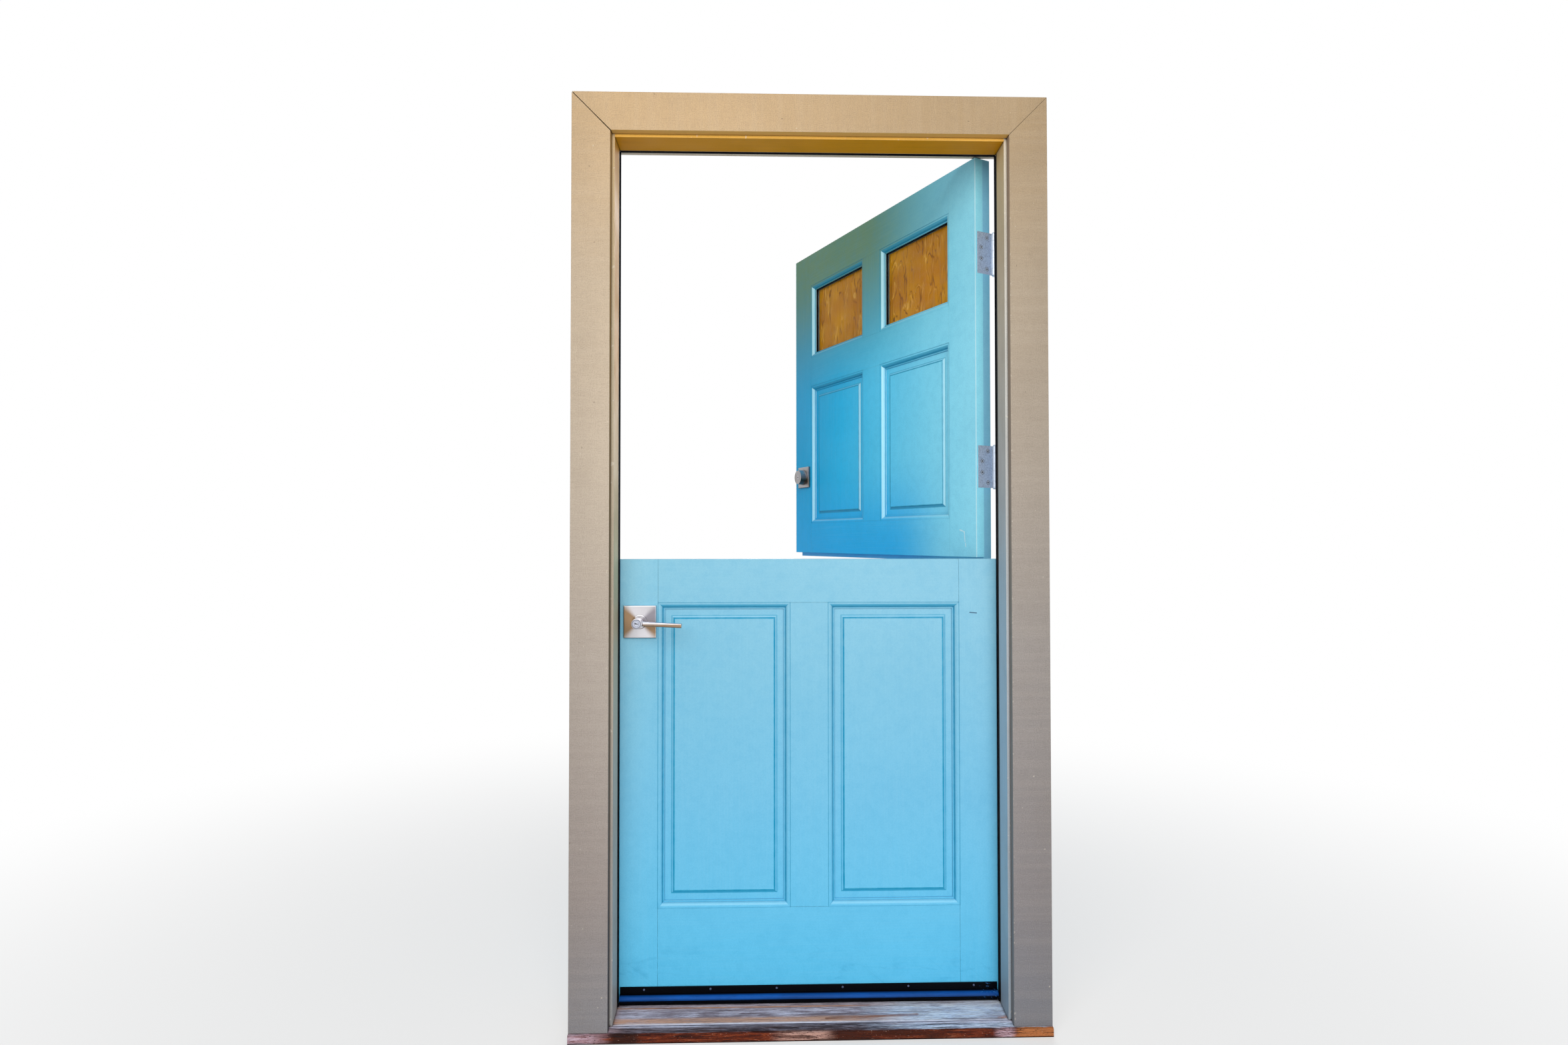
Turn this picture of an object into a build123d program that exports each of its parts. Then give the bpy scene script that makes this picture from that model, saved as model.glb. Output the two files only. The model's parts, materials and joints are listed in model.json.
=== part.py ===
from build123d import *
import os
from math import cos, radians, sin, tan

# A two-part (Dutch) stable door in its wooden frame. X runs to the right seen from outside,
# Y runs inwards, Z runs up. Sizes are in millimetres, angles in degrees.

# How far a cutter runs past the face it opens, and a joined body into its neighbour
over = 1.0

# Leaves
leaf_width = 908.0
leaf_thick = 44.5
upper_height = 964.0
lower_height = 1023.0
leaf_gap = 3.0
edge_gap = 2.5
floor_gap = 4.0
open_angle = 64.0

# Rebated meeting edge: the upper leaf's inner half hangs down behind the lower leaf's outer half
lip_drop = 12.0
lip_play = 1.5

# Frame
jamb_depth = 124.0
jamb_thick = 31.8
rabbet_step = 14.0
seal_room = 8.0
leaf_set_back = 1.5
kerf_width = 3.0
kerf_depth = 9.0
kerf_from_rabbet = 3.0
seal_play = 0.3
seal_proud = 2.5
seal_round = 2.2
fin_end_play = 1.0
casing_width = 86.5
casing_thick = 19.0
casing_reveal = 7.0
left_mitre_gap = 1.6
right_mitre_gap = 0.5
casing_edge_round = 1.2

# Sill
sill_height = 30.0
tread_slope = 4.0
nosing_slope = 13.0
nosing_reach = 7.0
nosing_round = 3.0
sill_crack = 0.8

# Stiles, rails and mullions
stile_width = 101.6
mullion_width = 88.9
upper_top_rail_width = 101.6
middle_rail_width = 93.5
meeting_rail_width = 95.0
lower_top_rail_width = 101.6
bottom_rail_width = 215.0
lite_height = 233.0

# Sticking, the moulded inner edge of the stiles and rails
sticking_width = 15.0
sticking_quirk = 0.8
ovolo_width = 11.0
ovolo_depth = 7.2
fillet_drop = 1.2
sticking_back = 11.7
sticking_root = 1.0

# Raised panels
panel_play = 0.3
panel_tongue = 11.0
margin_width = 16.0
bevel_width = 5.5
field_rise = 4.0
field_step = 1.5

# Lites
outer_pane_thick = 3.0
spacer_depth = 6.0
inner_pane_thick = 3.0
gasket_thick = 1.6
gasket_lip = 1.0
glass_edge_play = 3.0
bead_width = 15.0
bead_thick = 10.0

# Butt hinges
hinge_size = 101.6
pin_out = 12.7
hinge_plate_thick = 3.0
barrel_radius = 6.35
pin_radius = 3.0
running = 0.05
knuckle_gap = 0.3
knuckle_shares = (1.0, 1.5, 1.08, 1.5, 1.0)
pin_tip_height = 3.0
pin_tip_base_radius = 5.75
pin_tip_end_radius = 3.85
upper_hinge_below_top = 177.0
upper_hinge_above_bottom = 167.0
lower_hinge_below_top = 150.0
lower_hinge_above_bottom = 230.0
hinge_screw_near = 21.0
hinge_screw_far = 38.5
hinge_screw_high = 38.0
hinge_screw_low = 13.5
screw_head_radius = 4.4
screw_shank_radius = 2.2
screw_head_play = 0.05

# Locks
backset = 60.3
cross_bore_radius = 27.0
edge_bore_radius = 12.7
lever_below_top = 145.0
deadbolt_above_bottom = 244.0
rose_size = 75.0
rose_thick = 8.0
deadbolt_rose_size = 67.0
deadbolt_rose_thick = 7.0
rose_round = 1.5
drum_radius = 25.5
drum_depth = 9.5
collar_radius = 16.5
collar_height = 5.0
collar_taper = 1.5
neck_radius = 9.5
head_radius = 12.0
head_length = 24.0
head_round = 1.2
lever_reach_out = 62.0
lever_length = 101.0
lever_height = 10.0
lever_depth = 12.0
lever_droop = 3.0
lever_round = 3.0
spindle_size = 8.0
spindle_play = 0.2
plug_radius = 7.0
plug_length = 16.0
plug_end_play = 0.2
keyway_width = 7.5
keyway_height = 1.4
keyway_depth = 6.0
housing_radius = 24.5
housing_taper = 2.5
housing_height = 20.0
turn_plate_height = 9.0
turn_play = 0.2
turn_radius = 12.0
turn_hub_height = 8.0
turn_stem_radius = 6.0
turn_blade_length = 34.0
turn_blade_height = 16.0
turn_blade_thick = 6.0
turn_blade_round = 4.0
tailpiece_width = 6.0
tailpiece_thick = 2.0
tailpiece_end_play = 0.3
tailpiece_side_play = 1.0
case_radius = 12.4
case_length = 46.0
case_tail_length = 22.0
case_tail_height = 20.0
case_tail_thick = 8.0
case_tail_bore_radius = 6.2
face_plate_width = 25.4
face_plate_height = 57.0
face_plate_thick = 2.0
bolt_width = 12.0
bolt_height = 17.0
bolt_play = 0.2
latch_throw = 12.7
latch_bevel_depth = 10.2
latch_bevel_flat = 3.0
deadbolt_throw = 25.4
bolt_length = 40.0
strike_width = 28.0
strike_height = 70.0
strike_thick = 2.0
strike_hole_play = 1.5
strike_lip_reach = 4.0
strike_lip_height = 34.0
strike_screw_offset = 27.0
face_screw_offset = 22.5

# Bolt that joins the two leaves, on the inside
joining_radius = 5.0
joining_length = 84.0
joining_travel = 30.0
joining_plate_width = 34.0
joining_plate_height = 94.0
joining_plate_thick = 2.5
joining_lift = 8.0
joining_off_face = 9.0
joining_play = 0.1
guide_width = 18.0
guide_height = 12.0
keeper_plate_height = 30.0
keeper_below_edge = 2.0
keeper_play = 0.3
knob_radius = 6.0
knob_reach = 16.0
knob_thick = 5.0
knob_clear = 16.0
knob_stem_radius = 3.0

# Drip rail and seal on the lower leaf
sweep_height = 37.0
sweep_flange = 14.0
sweep_thick = 3.0
sweep_end_play = 2.5
drip_reach = 16.0
drip_height = 13.0
drip_lip = 2.5
drip_lip_thick = 2.0
drip_nose_height = 1.5
drip_shoulder_in = 3.2
drip_shoulder_down = 4.6
foot_thick = 1.5
sweep_screw_pitch = 153.0
sweep_screw_count = 6
sweep_screw_below_top = 6.0
sweep_screw_radius = 2.6
sweep_screw_crown_radius = 1.8
sweep_screw_height = 1.2
fin_count = 3
fin_web_thick = 1.0
fin_gap = 0.3

# Places worked out from the sizes above
frame_front = -jamb_depth / 2
frame_back = jamb_depth / 2
leaf_in = frame_back - leaf_set_back
leaf_out = leaf_in - leaf_thick
stop_back = leaf_out - seal_room
leaf_edge = leaf_width / 2
rabbet_x = leaf_edge + edge_gap
stop_x = rabbet_x - rabbet_step
frame_x = stop_x + jamb_thick
lower_bottom = sill_height + floor_gap
lower_top = lower_bottom + lower_height
upper_bottom = lower_top + leaf_gap
upper_top = upper_bottom + upper_height
rabbet_z = upper_top + edge_gap
stop_z = rabbet_z - rabbet_step
frame_top = stop_z + jamb_thick
lip_y = leaf_out + leaf_thick / 2
pin_x = leaf_edge + edge_gap / 2
pin_y = leaf_in + pin_out
casing_x = stop_x + casing_reveal
casing_z = stop_z + casing_reveal
casing_outer_x = casing_x + casing_width
casing_front = frame_front - casing_thick
nosing_front = casing_front - nosing_reach
crack_z = sill_height - (leaf_out - frame_front) * tan(radians(tread_slope))
nosing_back = frame_front - sill_crack
lock_x = -leaf_edge + backset
lever_z = lower_top - lever_below_top
deadbolt_z = upper_bottom + deadbolt_above_bottom
mid_y = leaf_out + leaf_thick / 2
upper_lite_top = upper_top - upper_top_rail_width
upper_lite_bottom = upper_lite_top - lite_height
upper_panel_top = upper_lite_bottom - middle_rail_width
upper_panel_bottom = upper_bottom + meeting_rail_width
lower_panel_top = lower_top - lower_top_rail_width
lower_panel_bottom = lower_bottom + bottom_rail_width
stile_x = leaf_edge - stile_width
mullion_x = mullion_width / 2
panel_margin_y = sticking_back + panel_play
unit_front = leaf_out + sticking_back + gasket_thick
unit_back = unit_front + outer_pane_thick + spacer_depth + inner_pane_thick
lever_end_y = leaf_out - lever_reach_out
deadbolt_end_y = leaf_out - deadbolt_rose_thick - housing_height
joining_y = leaf_in + joining_off_face
joining_low = upper_bottom - lip_drop + joining_lift
sweep_half_length = stop_x - seal_proud - sweep_end_play

upper_hinge_middles = (
    upper_top - upper_hinge_below_top - hinge_size / 2,
    upper_bottom + upper_hinge_above_bottom + hinge_size / 2,
)
lower_hinge_middles = (
    lower_top - lower_hinge_below_top - hinge_size / 2,
    lower_bottom + lower_hinge_above_bottom + hinge_size / 2,
)


def block(x, y, z):
    """A box between two corners, given as a pair of values along each axis."""
    size = [abs(pair[1] - pair[0]) for pair in (x, y, z)]
    middle = [(pair[0] + pair[1]) / 2 for pair in (x, y, z)]
    return Pos(*middle) * Box(*size)


def rod(radius, start, end):
    """A round bar between two points on a line along X, Y or Z."""
    start, end = Vector(*start), Vector(*end)
    return extrude(Plane(origin=start, z_dir=end - start) * Circle(radius), amount=(end - start).length)


def cone(radius_a, radius_b, start, end):
    """A round bar that tapers from one radius to another."""
    start, end = Vector(*start), Vector(*end)
    length = (end - start).length
    body = Cone(radius_a, radius_b, length, align=(Align.CENTER, Align.CENTER, Align.MIN))
    return Plane(origin=start, z_dir=end - start) * body


def countersink(face, inward, depth, play):
    """Tapered head of a screw sunk in a plate, or with some play the hole that takes it.

    face is the point on the plate's surface, inward a direction along an axis."""
    face, inward = Vector(*face), Vector(*inward)
    slope = (screw_head_radius - screw_shank_radius) / depth
    spill = over if play else 0.0
    head = screw_head_radius + play + slope * spill
    shank = screw_shank_radius + play - slope * spill
    return cone(head, shank, face - inward * spill, face + inward * (depth + spill))


def along_x(points, x_from, x_to):
    """A profile of (Y, Z) points drawn out along X."""
    face = Plane.YZ.offset(x_from) * make_face(Polyline(*points, close=True))
    return extrude(face, amount=x_to - x_from)


def along_z(points, z_from, z_to):
    """A profile of (X, Y) points drawn out along Z."""
    face = Plane.XY.offset(z_from) * make_face(Polyline(*points, close=True))
    return extrude(face, amount=z_to - z_from)


def across_y(points, y_from, y_to):
    """A profile of (X, Z) points drawn out along Y."""
    face = Plane.XZ.offset(-y_to) * make_face(Polyline(*points, close=True))
    return extrude(face, amount=y_to - y_from)


def swung(shape):
    """Turns a piece of the upper leaf from shut to the angle at which it stands open."""
    return Pos(pin_x, pin_y, 0) * Rot(0, 0, -open_angle) * Pos(-pin_x, -pin_y, 0) * shape


def mirrored_x(shape):
    """The same piece for the lock side of the frame."""
    return mirror(shape, about=Plane.YZ)


def jamb_profile():
    """Section of the hinge-side jamb: a stop with a kerf for the seal, and a rabbet behind it."""
    kerf = rabbet_x - kerf_from_rabbet
    return [
        (stop_x, frame_front),
        (frame_x, frame_front),
        (frame_x, frame_back),
        (rabbet_x, frame_back),
        (rabbet_x, stop_back),
        (kerf, stop_back),
        (kerf, stop_back - kerf_depth),
        (kerf - kerf_width, stop_back - kerf_depth),
        (kerf - kerf_width, stop_back),
        (stop_x, stop_back),
    ]


def tread_height(y):
    """Height of the sloped tread at a distance along Y."""
    return sill_height - max(0.0, leaf_out - y) * tan(radians(tread_slope))


def nosing_height(y):
    """Height of the nosing's steeper top at a distance along Y."""
    return crack_z - (frame_front - y) * tan(radians(nosing_slope))


def jamb():
    """Jamb on the hinge side, with its foot cut to the slope of the sill."""
    body = along_z(jamb_profile(), 0, frame_top)
    below = [
        (frame_front - over, -over),
        (frame_back + over, -over),
        (frame_back + over, sill_height),
        (leaf_out, sill_height),
        (frame_front - over, tread_height(frame_front - over)),
    ]
    return body - along_x(below, stop_x - over, frame_x + over)


def hinge_jamb():
    body = jamb()
    half = hinge_size / 2
    for middle in upper_hinge_middles + lower_hinge_middles:
        recess = (rabbet_x - over, rabbet_x + hinge_plate_thick)
        body -= block(recess, (pin_y - half, frame_back + over), around(middle, hinge_size))
    return body


def around(middle, size):
    """The pair of values half a size to either side of a middle."""
    return (middle - size / 2, middle + size / 2)


def bolt_hole(z, x_from, x_to):
    """Space that a bolt needs to pass through a strike and the jamb behind it."""
    y = around(mid_y, bolt_width + 2 * strike_hole_play)
    return block((x_from, x_to), y, around(z, bolt_height + 2 * strike_hole_play))


def strike_pocket(z, throw):
    """Recess for a strike plate on the lock side, with a hole as deep as the bolt's throw."""
    face = -rabbet_x
    depth = (face - strike_thick, face + over)
    recess = block(depth, around(mid_y, strike_width), around(z, strike_height))
    lip = block(depth, (mid_y, frame_back + over), around(z, strike_lip_height))
    return recess + lip + bolt_hole(z, face - throw - strike_hole_play, face)


def strike_jamb():
    body = mirrored_x(jamb())
    body -= strike_pocket(lever_z, latch_throw)
    body -= strike_pocket(deadbolt_z, deadbolt_throw)
    return body


def head_jamb():
    """Head of the frame, between the two side jambs, coped to their stops."""
    kerf = rabbet_z - kerf_from_rabbet
    stop = block((-stop_x, stop_x), (frame_front, stop_back), (stop_z, frame_top))
    rabbet = block((-rabbet_x, rabbet_x), (stop_back, frame_back), (rabbet_z, frame_top))
    groove_y = (stop_back - kerf_depth, stop_back + over)
    groove = block((-stop_x, stop_x), groove_y, (kerf - kerf_width, kerf))
    return stop + rabbet - groove


def seal_points(face, away):
    """Section of the bulb seal: a fin in the kerf and a soft body that closes on the leaf.

    The first value is the rabbet's face, away is the way out of the rabbet."""
    fin_far = face + away * (kerf_from_rabbet + kerf_width - seal_play)
    fin_near = face + away * (kerf_from_rabbet + seal_play)
    tip = face + away * (rabbet_step + seal_proud)
    root = face + away * seal_play
    front = leaf_out - seal_play
    back = stop_back
    fin_end = stop_back - kerf_depth + fin_end_play
    return [
        (fin_near, fin_end),
        (fin_near, back),
        (root, back),
        (root, front),
        (tip - away * seal_round, front),
        (tip, front - seal_round),
        (tip, back + seal_round),
        (tip - away * seal_round, back),
        (fin_far, back),
        (fin_far, fin_end),
    ]


def side_seal():
    """Seal on the hinge side, from the sill to the seal of the head."""
    top = stop_z - seal_proud - seal_play
    foot = [(frame_front, 0), (leaf_out, 0), (leaf_out, sill_height), (frame_front, crack_z)]
    body = along_z(seal_points(rabbet_x, -1), crack_z, top)
    return body - along_x(foot, stop_x - seal_proud - over, frame_x)


def head_seal():
    """Seal of the head, between the side jambs' stops."""
    points = [(y, z) for z, y in seal_points(rabbet_z, -1)]
    return along_x(points, -stop_x + seal_play, stop_x - seal_play)


def casing_leg(mitre_gap):
    """Right-hand casing board, mitred at the top and scribed to the nosing at its foot."""
    cut = mitre_gap / 2 / cos(radians(45))
    outline = [
        (casing_x, 0),
        (casing_outer_x, 0),
        (casing_outer_x, casing_z + casing_width - cut),
        (casing_x, casing_z - cut),
    ]
    board = across_y(outline, casing_front, frame_front)
    below = [
        (casing_front - over, -over),
        (frame_front + over, -over),
        (frame_front + over, nosing_height(frame_front + over)),
        (casing_front - over, nosing_height(casing_front - over)),
    ]
    board -= along_x(below, casing_x - over, casing_outer_x + over)
    return softened(board, casing_front)


def softened(board, y):
    """Breaks the long arrises of a board on its outer face."""
    edges = board.edges().filter_by(GeomType.LINE).filter_by_position(Axis.Y, y, y)
    long_edges = [edge for edge in edges if edge.length > casing_width * 2]
    return fillet(long_edges, casing_edge_round)


def casing_head():
    left = left_mitre_gap / 2 / cos(radians(45))
    right = right_mitre_gap / 2 / cos(radians(45))
    outline = [
        (-casing_x + left, casing_z),
        (casing_x - right, casing_z),
        (casing_outer_x - right, casing_z + casing_width),
        (-casing_outer_x + left, casing_z + casing_width),
    ]
    return softened(across_y(outline, casing_front, frame_front), casing_front)


def sill():
    points = [
        (frame_front, 0),
        (frame_back, 0),
        (frame_back, sill_height),
        (leaf_out, sill_height),
        (frame_front, crack_z),
    ]
    return along_x(points, -frame_x, frame_x)


def sill_nosing():
    """Board in front of the sill that carries both casing boards."""
    points = [
        (nosing_front, 0),
        (nosing_back, 0),
        (nosing_back, nosing_height(nosing_back)),
        (nosing_front, nosing_height(nosing_front)),
    ]
    board = along_x(points, -casing_outer_x, casing_outer_x)
    arris = board.edges().filter_by(Axis.X).sort_by(Axis.Y)[:2].sort_by(Axis.Z)[-1]
    return fillet(arris, nosing_round)


def sticking_face(outward):
    """Moulded section of the sticking, drawn in (distance from the member, depth) with rounds.

    outward is -1 for the outer face of the leaf and 1 for the inner face."""
    face = leaf_out if outward < 0 else leaf_in

    def at(a, depth):
        return (a, face - outward * depth)

    start = at(0, sticking_quirk)
    end = at(ovolo_width, sticking_quirk + ovolo_depth)
    middle = at(ovolo_width * sin(radians(45)), sticking_quirk + ovolo_depth * (1 - cos(radians(45))))
    low = sticking_quirk + ovolo_depth + fillet_drop
    edges = [
        Line(at(-sticking_root, sticking_quirk), start),
        ThreePointArc(start, middle, end),
        Polyline(end, at(ovolo_width, low), at(sticking_width, low), at(sticking_width, sticking_back)),
        Line(at(sticking_width, sticking_back), at(-sticking_root, sticking_back)),
        Line(at(-sticking_root, sticking_back), at(-sticking_root, sticking_quirk)),
    ]
    return make_face(edges)


def sticking(side, opening, sides=(-1, 1)):
    """Moulding on one side of an opening, mitred at both ends.

    side is left, right, top or bottom, opening is (left, right, bottom, top)."""
    left, right, bottom, top = opening
    half_x = (right - left) / 2
    half_z = (top - bottom) / 2
    middle_x = (left + right) / 2
    middle_z = (bottom + top) / 2
    turns = {"bottom": (0, half_x, half_z), "top": (180, half_x, half_z)}
    turns.update({"left": (90, half_z, half_x), "right": (-90, half_z, half_x)})
    turn, half_run, away = turns[side]
    plan = [
        (-half_run, -away - sticking_root),
        (half_run, -away - sticking_root),
        (half_run, -away),
        (half_run - sticking_width, -away + sticking_width),
        (-half_run + sticking_width, -away + sticking_width),
        (-half_run, -away),
    ]
    keep = across_y(plan, leaf_out, leaf_in)
    section = Plane(origin=(half_run, 0, -away), x_dir=(0, 0, 1), z_dir=(-1, 0, 0))
    run = 2 * half_run
    strips = [extrude(section * sticking_face(outward), amount=run) & keep for outward in sides]
    body = strips[0] if len(strips) == 1 else strips[0] + strips[1]
    return Pos(middle_x, 0, middle_z) * Rot(0, turn, 0) * body


def upper_openings():
    """The four openings of the upper leaf as (left, right, bottom, top), lites first."""
    left = (-stile_x, -mullion_x)
    right = (mullion_x, stile_x)
    lite = (upper_lite_bottom, upper_lite_top)
    panel = (upper_panel_bottom, upper_panel_top)
    return [left + lite, right + lite, left + panel, right + panel]


def lower_openings():
    panel = (lower_panel_bottom, lower_panel_top)
    return [(-stile_x, -mullion_x) + panel, (mullion_x, stile_x) + panel]


def lite_sides(opening):
    """Lites have fixed sticking outside only, because loose beads hold the glass inside."""
    return (-1,) if opening[3] == upper_lite_top else (-1, 1)


def with_sticking(body, pairs):
    for side, opening in pairs:
        body += sticking(side, opening, lite_sides(opening))
    return body


def hinge_mortises(body, middles):
    """Recesses in the leaf's edge, open at its inner face, that the hinge plates lie in."""
    half = hinge_size / 2
    for middle in middles:
        recess = (leaf_edge - hinge_plate_thick, leaf_edge + over)
        body -= block(recess, (pin_y - half, leaf_in + over), around(middle, hinge_size))
    return body


def lock_bores(body, z):
    """Cross bore for the lock, edge bore for its bolt and recess for the face plate."""
    body -= rod(cross_bore_radius, (lock_x, leaf_out - over, z), (lock_x, leaf_in + over, z))
    body -= rod(edge_bore_radius, (-leaf_edge - over, mid_y, z), (lock_x, mid_y, z))
    recess = (-leaf_edge - over, -leaf_edge + face_plate_thick)
    return body - block(recess, around(mid_y, face_plate_width), around(z, face_plate_height))


def upper_member(x, z):
    """A stile or rail of the upper leaf; one that reaches the bottom carries the inner lip."""
    body = block(x, (leaf_out, leaf_in), z)
    if min(z) == upper_bottom:
        lip_from = lip_y + lip_play / 2
        body += block(x, (lip_from, leaf_in), (upper_bottom - lip_drop, upper_bottom))
    return body


def lower_member(x, z):
    """A stile or rail of the lower leaf; one that reaches the top is cut back inside."""
    body = block(x, (leaf_out, leaf_in), z)
    if max(z) == lower_top:
        cut_x = (x[0] - over, x[1] + over)
        cut_y = (lip_y - lip_play / 2, leaf_in + over)
        body -= block(cut_x, cut_y, (lower_top - lip_drop, lower_top + over))
    return body


def upper_lock_stile():
    lite, _, panel, _ = upper_openings()
    body = upper_member((-leaf_edge, -stile_x), (upper_bottom, upper_top))
    return lock_bores(with_sticking(body, [("left", lite), ("left", panel)]), deadbolt_z)


def upper_hinge_stile():
    _, lite, _, panel = upper_openings()
    body = upper_member((stile_x, leaf_edge), (upper_bottom, upper_top))
    body = with_sticking(body, [("right", lite), ("right", panel)])
    return hinge_mortises(body, upper_hinge_middles)


def upper_top_rail():
    lites = upper_openings()[:2]
    body = upper_member((-stile_x, stile_x), (upper_lite_top, upper_top))
    return with_sticking(body, [("top", lite) for lite in lites])


def upper_middle_rail():
    openings = upper_openings()
    body = upper_member((-stile_x, stile_x), (upper_panel_top, upper_lite_bottom))
    pairs = [("bottom", lite) for lite in openings[:2]]
    return with_sticking(body, pairs + [("top", panel) for panel in openings[2:]])


def upper_bottom_rail():
    panels = upper_openings()[2:]
    body = upper_member((-stile_x, stile_x), (upper_bottom, upper_panel_bottom))
    return with_sticking(body, [("bottom", panel) for panel in panels])


def mullion(openings):
    """Upright between two openings of one row."""
    left, right = openings
    body = block((-mullion_x, mullion_x), (leaf_out, leaf_in), (left[2], left[3]))
    return with_sticking(body, [("right", left), ("left", right)])


def lower_lock_stile():
    body = lower_member((-leaf_edge, -stile_x), (lower_bottom, lower_top))
    return lock_bores(with_sticking(body, [("left", lower_openings()[0])]), lever_z)


def lower_hinge_stile():
    body = lower_member((stile_x, leaf_edge), (lower_bottom, lower_top))
    body = with_sticking(body, [("right", lower_openings()[1])])
    return hinge_mortises(body, lower_hinge_middles)


def lower_top_rail():
    body = lower_member((-stile_x, stile_x), (lower_panel_top, lower_top))
    return with_sticking(body, [("top", panel) for panel in lower_openings()])


def lower_bottom_rail():
    body = lower_member((-stile_x, stile_x), (lower_bottom, lower_panel_bottom))
    return with_sticking(body, [("bottom", panel) for panel in lower_openings()])


def shrunk(opening, by):
    left, right, bottom, top = opening
    return (left + by, right - by, bottom + by, top - by)


def raised_panel(opening):
    """Panel with a tongue in the sticking's groove, and on both faces a bevel that stops in a
    small upright step at the edge of the raised field.
    """
    left, right, bottom, top = shrunk(opening, sticking_width - panel_tongue)
    flat = (leaf_out + panel_margin_y, leaf_in - panel_margin_y)
    body = block((left, right), flat, (bottom, top))
    foot = shrunk(opening, sticking_width + margin_width)
    crest = shrunk(foot, bevel_width)
    for y, outward in ((flat[0], -1), (flat[1], 1)):
        sections = []
        for outline, rise in ((foot, 0), (crest, field_rise - field_step)):
            left, right, bottom, top = outline
            corners = [(left, bottom), (right, bottom), (right, top), (left, top)]
            plane = Plane.XZ.offset(-(y + outward * rise))
            sections.append(plane * make_face(Polyline(*corners, close=True)))
        body += loft(sections)
        body += block(crest[:2], (y, y + outward * field_rise), crest[2:])
    return body


def lite_pane(opening, y, thick):
    left, right, bottom, top = shrunk(opening, glass_edge_play)
    return block((left, right), (y, y + thick), (bottom, top))


def lite_outer_panes():
    """Clear panes on the outside of the two double-glazed units."""
    return Compound(
        children=[lite_pane(lite, unit_front, outer_pane_thick) for lite in upper_openings()[:2]]
    )


def lite_glass(opening):
    """Textured pane on the inside of a double-glazed unit."""
    return lite_pane(opening, unit_back - inner_pane_thick, inner_pane_thick)


def lite_ring(opening, y, thick):
    """Frame round the edge of a pane, which shows a narrow lip past the sticking."""
    outer = shrunk(opening, glass_edge_play)
    inner = shrunk(opening, sticking_width + gasket_lip)
    ring = block(outer[:2], (y, y + thick), outer[2:])
    return ring - block(inner[:2], (y - over, y + thick + over), inner[2:])


def lite_gaskets():
    """Black seals on both faces of each unit, and the black spacer bar between its panes."""
    spacer_front = unit_front + outer_pane_thick
    places = (
        (unit_front - gasket_thick, gasket_thick),
        (spacer_front, spacer_depth),
        (unit_back, gasket_thick),
    )
    lites = upper_openings()[:2]
    return Compound(children=[lite_ring(lite, *place) for lite in lites for place in places])


def glazing_beads():
    """Loose mitred beads that hold the panes from inside, a bevelled frame for each lite."""
    front = unit_back + gasket_thick
    beads = []
    for lite in upper_openings()[:2]:
        outer = shrunk(lite, panel_play)
        foot = shrunk(outer, bead_width)
        crest = shrunk(outer, bead_width / 3)
        ring = block(outer[:2], (front, front + bead_thick), outer[2:])
        sections = []
        for outline, y in ((foot, front + bead_thick / 2), (crest, front + bead_thick)):
            left, right, bottom, top = outline
            corners = [(left, bottom), (right, bottom), (right, top), (left, top)]
            sections.append(Plane.XZ.offset(-y) * make_face(Polyline(*corners, close=True)))
        ring -= loft(sections)
        ring -= block(foot[:2], (front - over, front + bead_thick), foot[2:])
        beads.append(ring)
    return Compound(children=beads)


def knuckle_spans(middle):
    """Lower and upper ends of the five knuckles of one hinge, from the top down."""
    unit = hinge_size / sum(knuckle_shares)
    top = middle + hinge_size / 2
    spans = []
    for share in knuckle_shares:
        spans.append((top - share * unit + knuckle_gap / 2, top - knuckle_gap / 2))
        top -= share * unit
    return spans


def hinge_screw_places(middle):
    """(Y, Z) of the four screws in one plate."""
    near = pin_y - hinge_screw_near
    far = pin_y - hinge_screw_far
    outer = [(near, middle + sign * hinge_screw_high) for sign in (1, -1)]
    return outer + [(far, middle + sign * hinge_screw_low) for sign in (1, -1)]


def hinge_leaf(middle, own, plate_x, face_x):
    """One plate of a butt hinge with its own knuckles, bored for the pin."""
    half = hinge_size / 2
    clear = pin_y - barrel_radius - knuckle_gap
    body = block(plate_x, (pin_y - half, clear), around(middle, hinge_size))
    for span in [knuckle_spans(middle)[index] for index in own]:
        barrel = rod(barrel_radius, (pin_x, pin_y, span[0]), (pin_x, pin_y, span[1]))
        body += barrel + block(plate_x, (clear - over, pin_y), span)
    ends = [(pin_x, pin_y, z) for z in around(middle, hinge_size + 2 * over)]
    body -= rod(pin_radius + running, *ends)
    inward = 1 if sum(plate_x) / 2 > face_x else -1
    for y, z in hinge_screw_places(middle):
        body -= countersink((face_x, y, z), (inward, 0, 0), hinge_plate_thick, screw_head_play)
    return body


def jamb_hinge_leaves(middles):
    plate = (rabbet_x, rabbet_x + hinge_plate_thick)
    return Compound(children=[hinge_leaf(m, (0, 2, 4), plate, rabbet_x) for m in middles])


def door_hinge_leaves(middles):
    plate = (leaf_edge - hinge_plate_thick, leaf_edge)
    return Compound(children=[hinge_leaf(m, (1, 3), plate, leaf_edge) for m in middles])


def hinge_pins():
    """Pins with a button at each end, fixed in the jamb's knuckles."""
    pins = []
    for middle in upper_hinge_middles + lower_hinge_middles:
        half = hinge_size / 2
        body = rod(pin_radius, (pin_x, pin_y, middle - half), (pin_x, pin_y, middle + half))
        for sign in (1, -1):
            foot = (pin_x, pin_y, middle + sign * half)
            tip = (pin_x, pin_y, middle + sign * (half + pin_tip_height))
            body += cone(pin_tip_base_radius, pin_tip_end_radius, foot, tip)
        pins.append(body)
    return Compound(children=pins)


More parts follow.
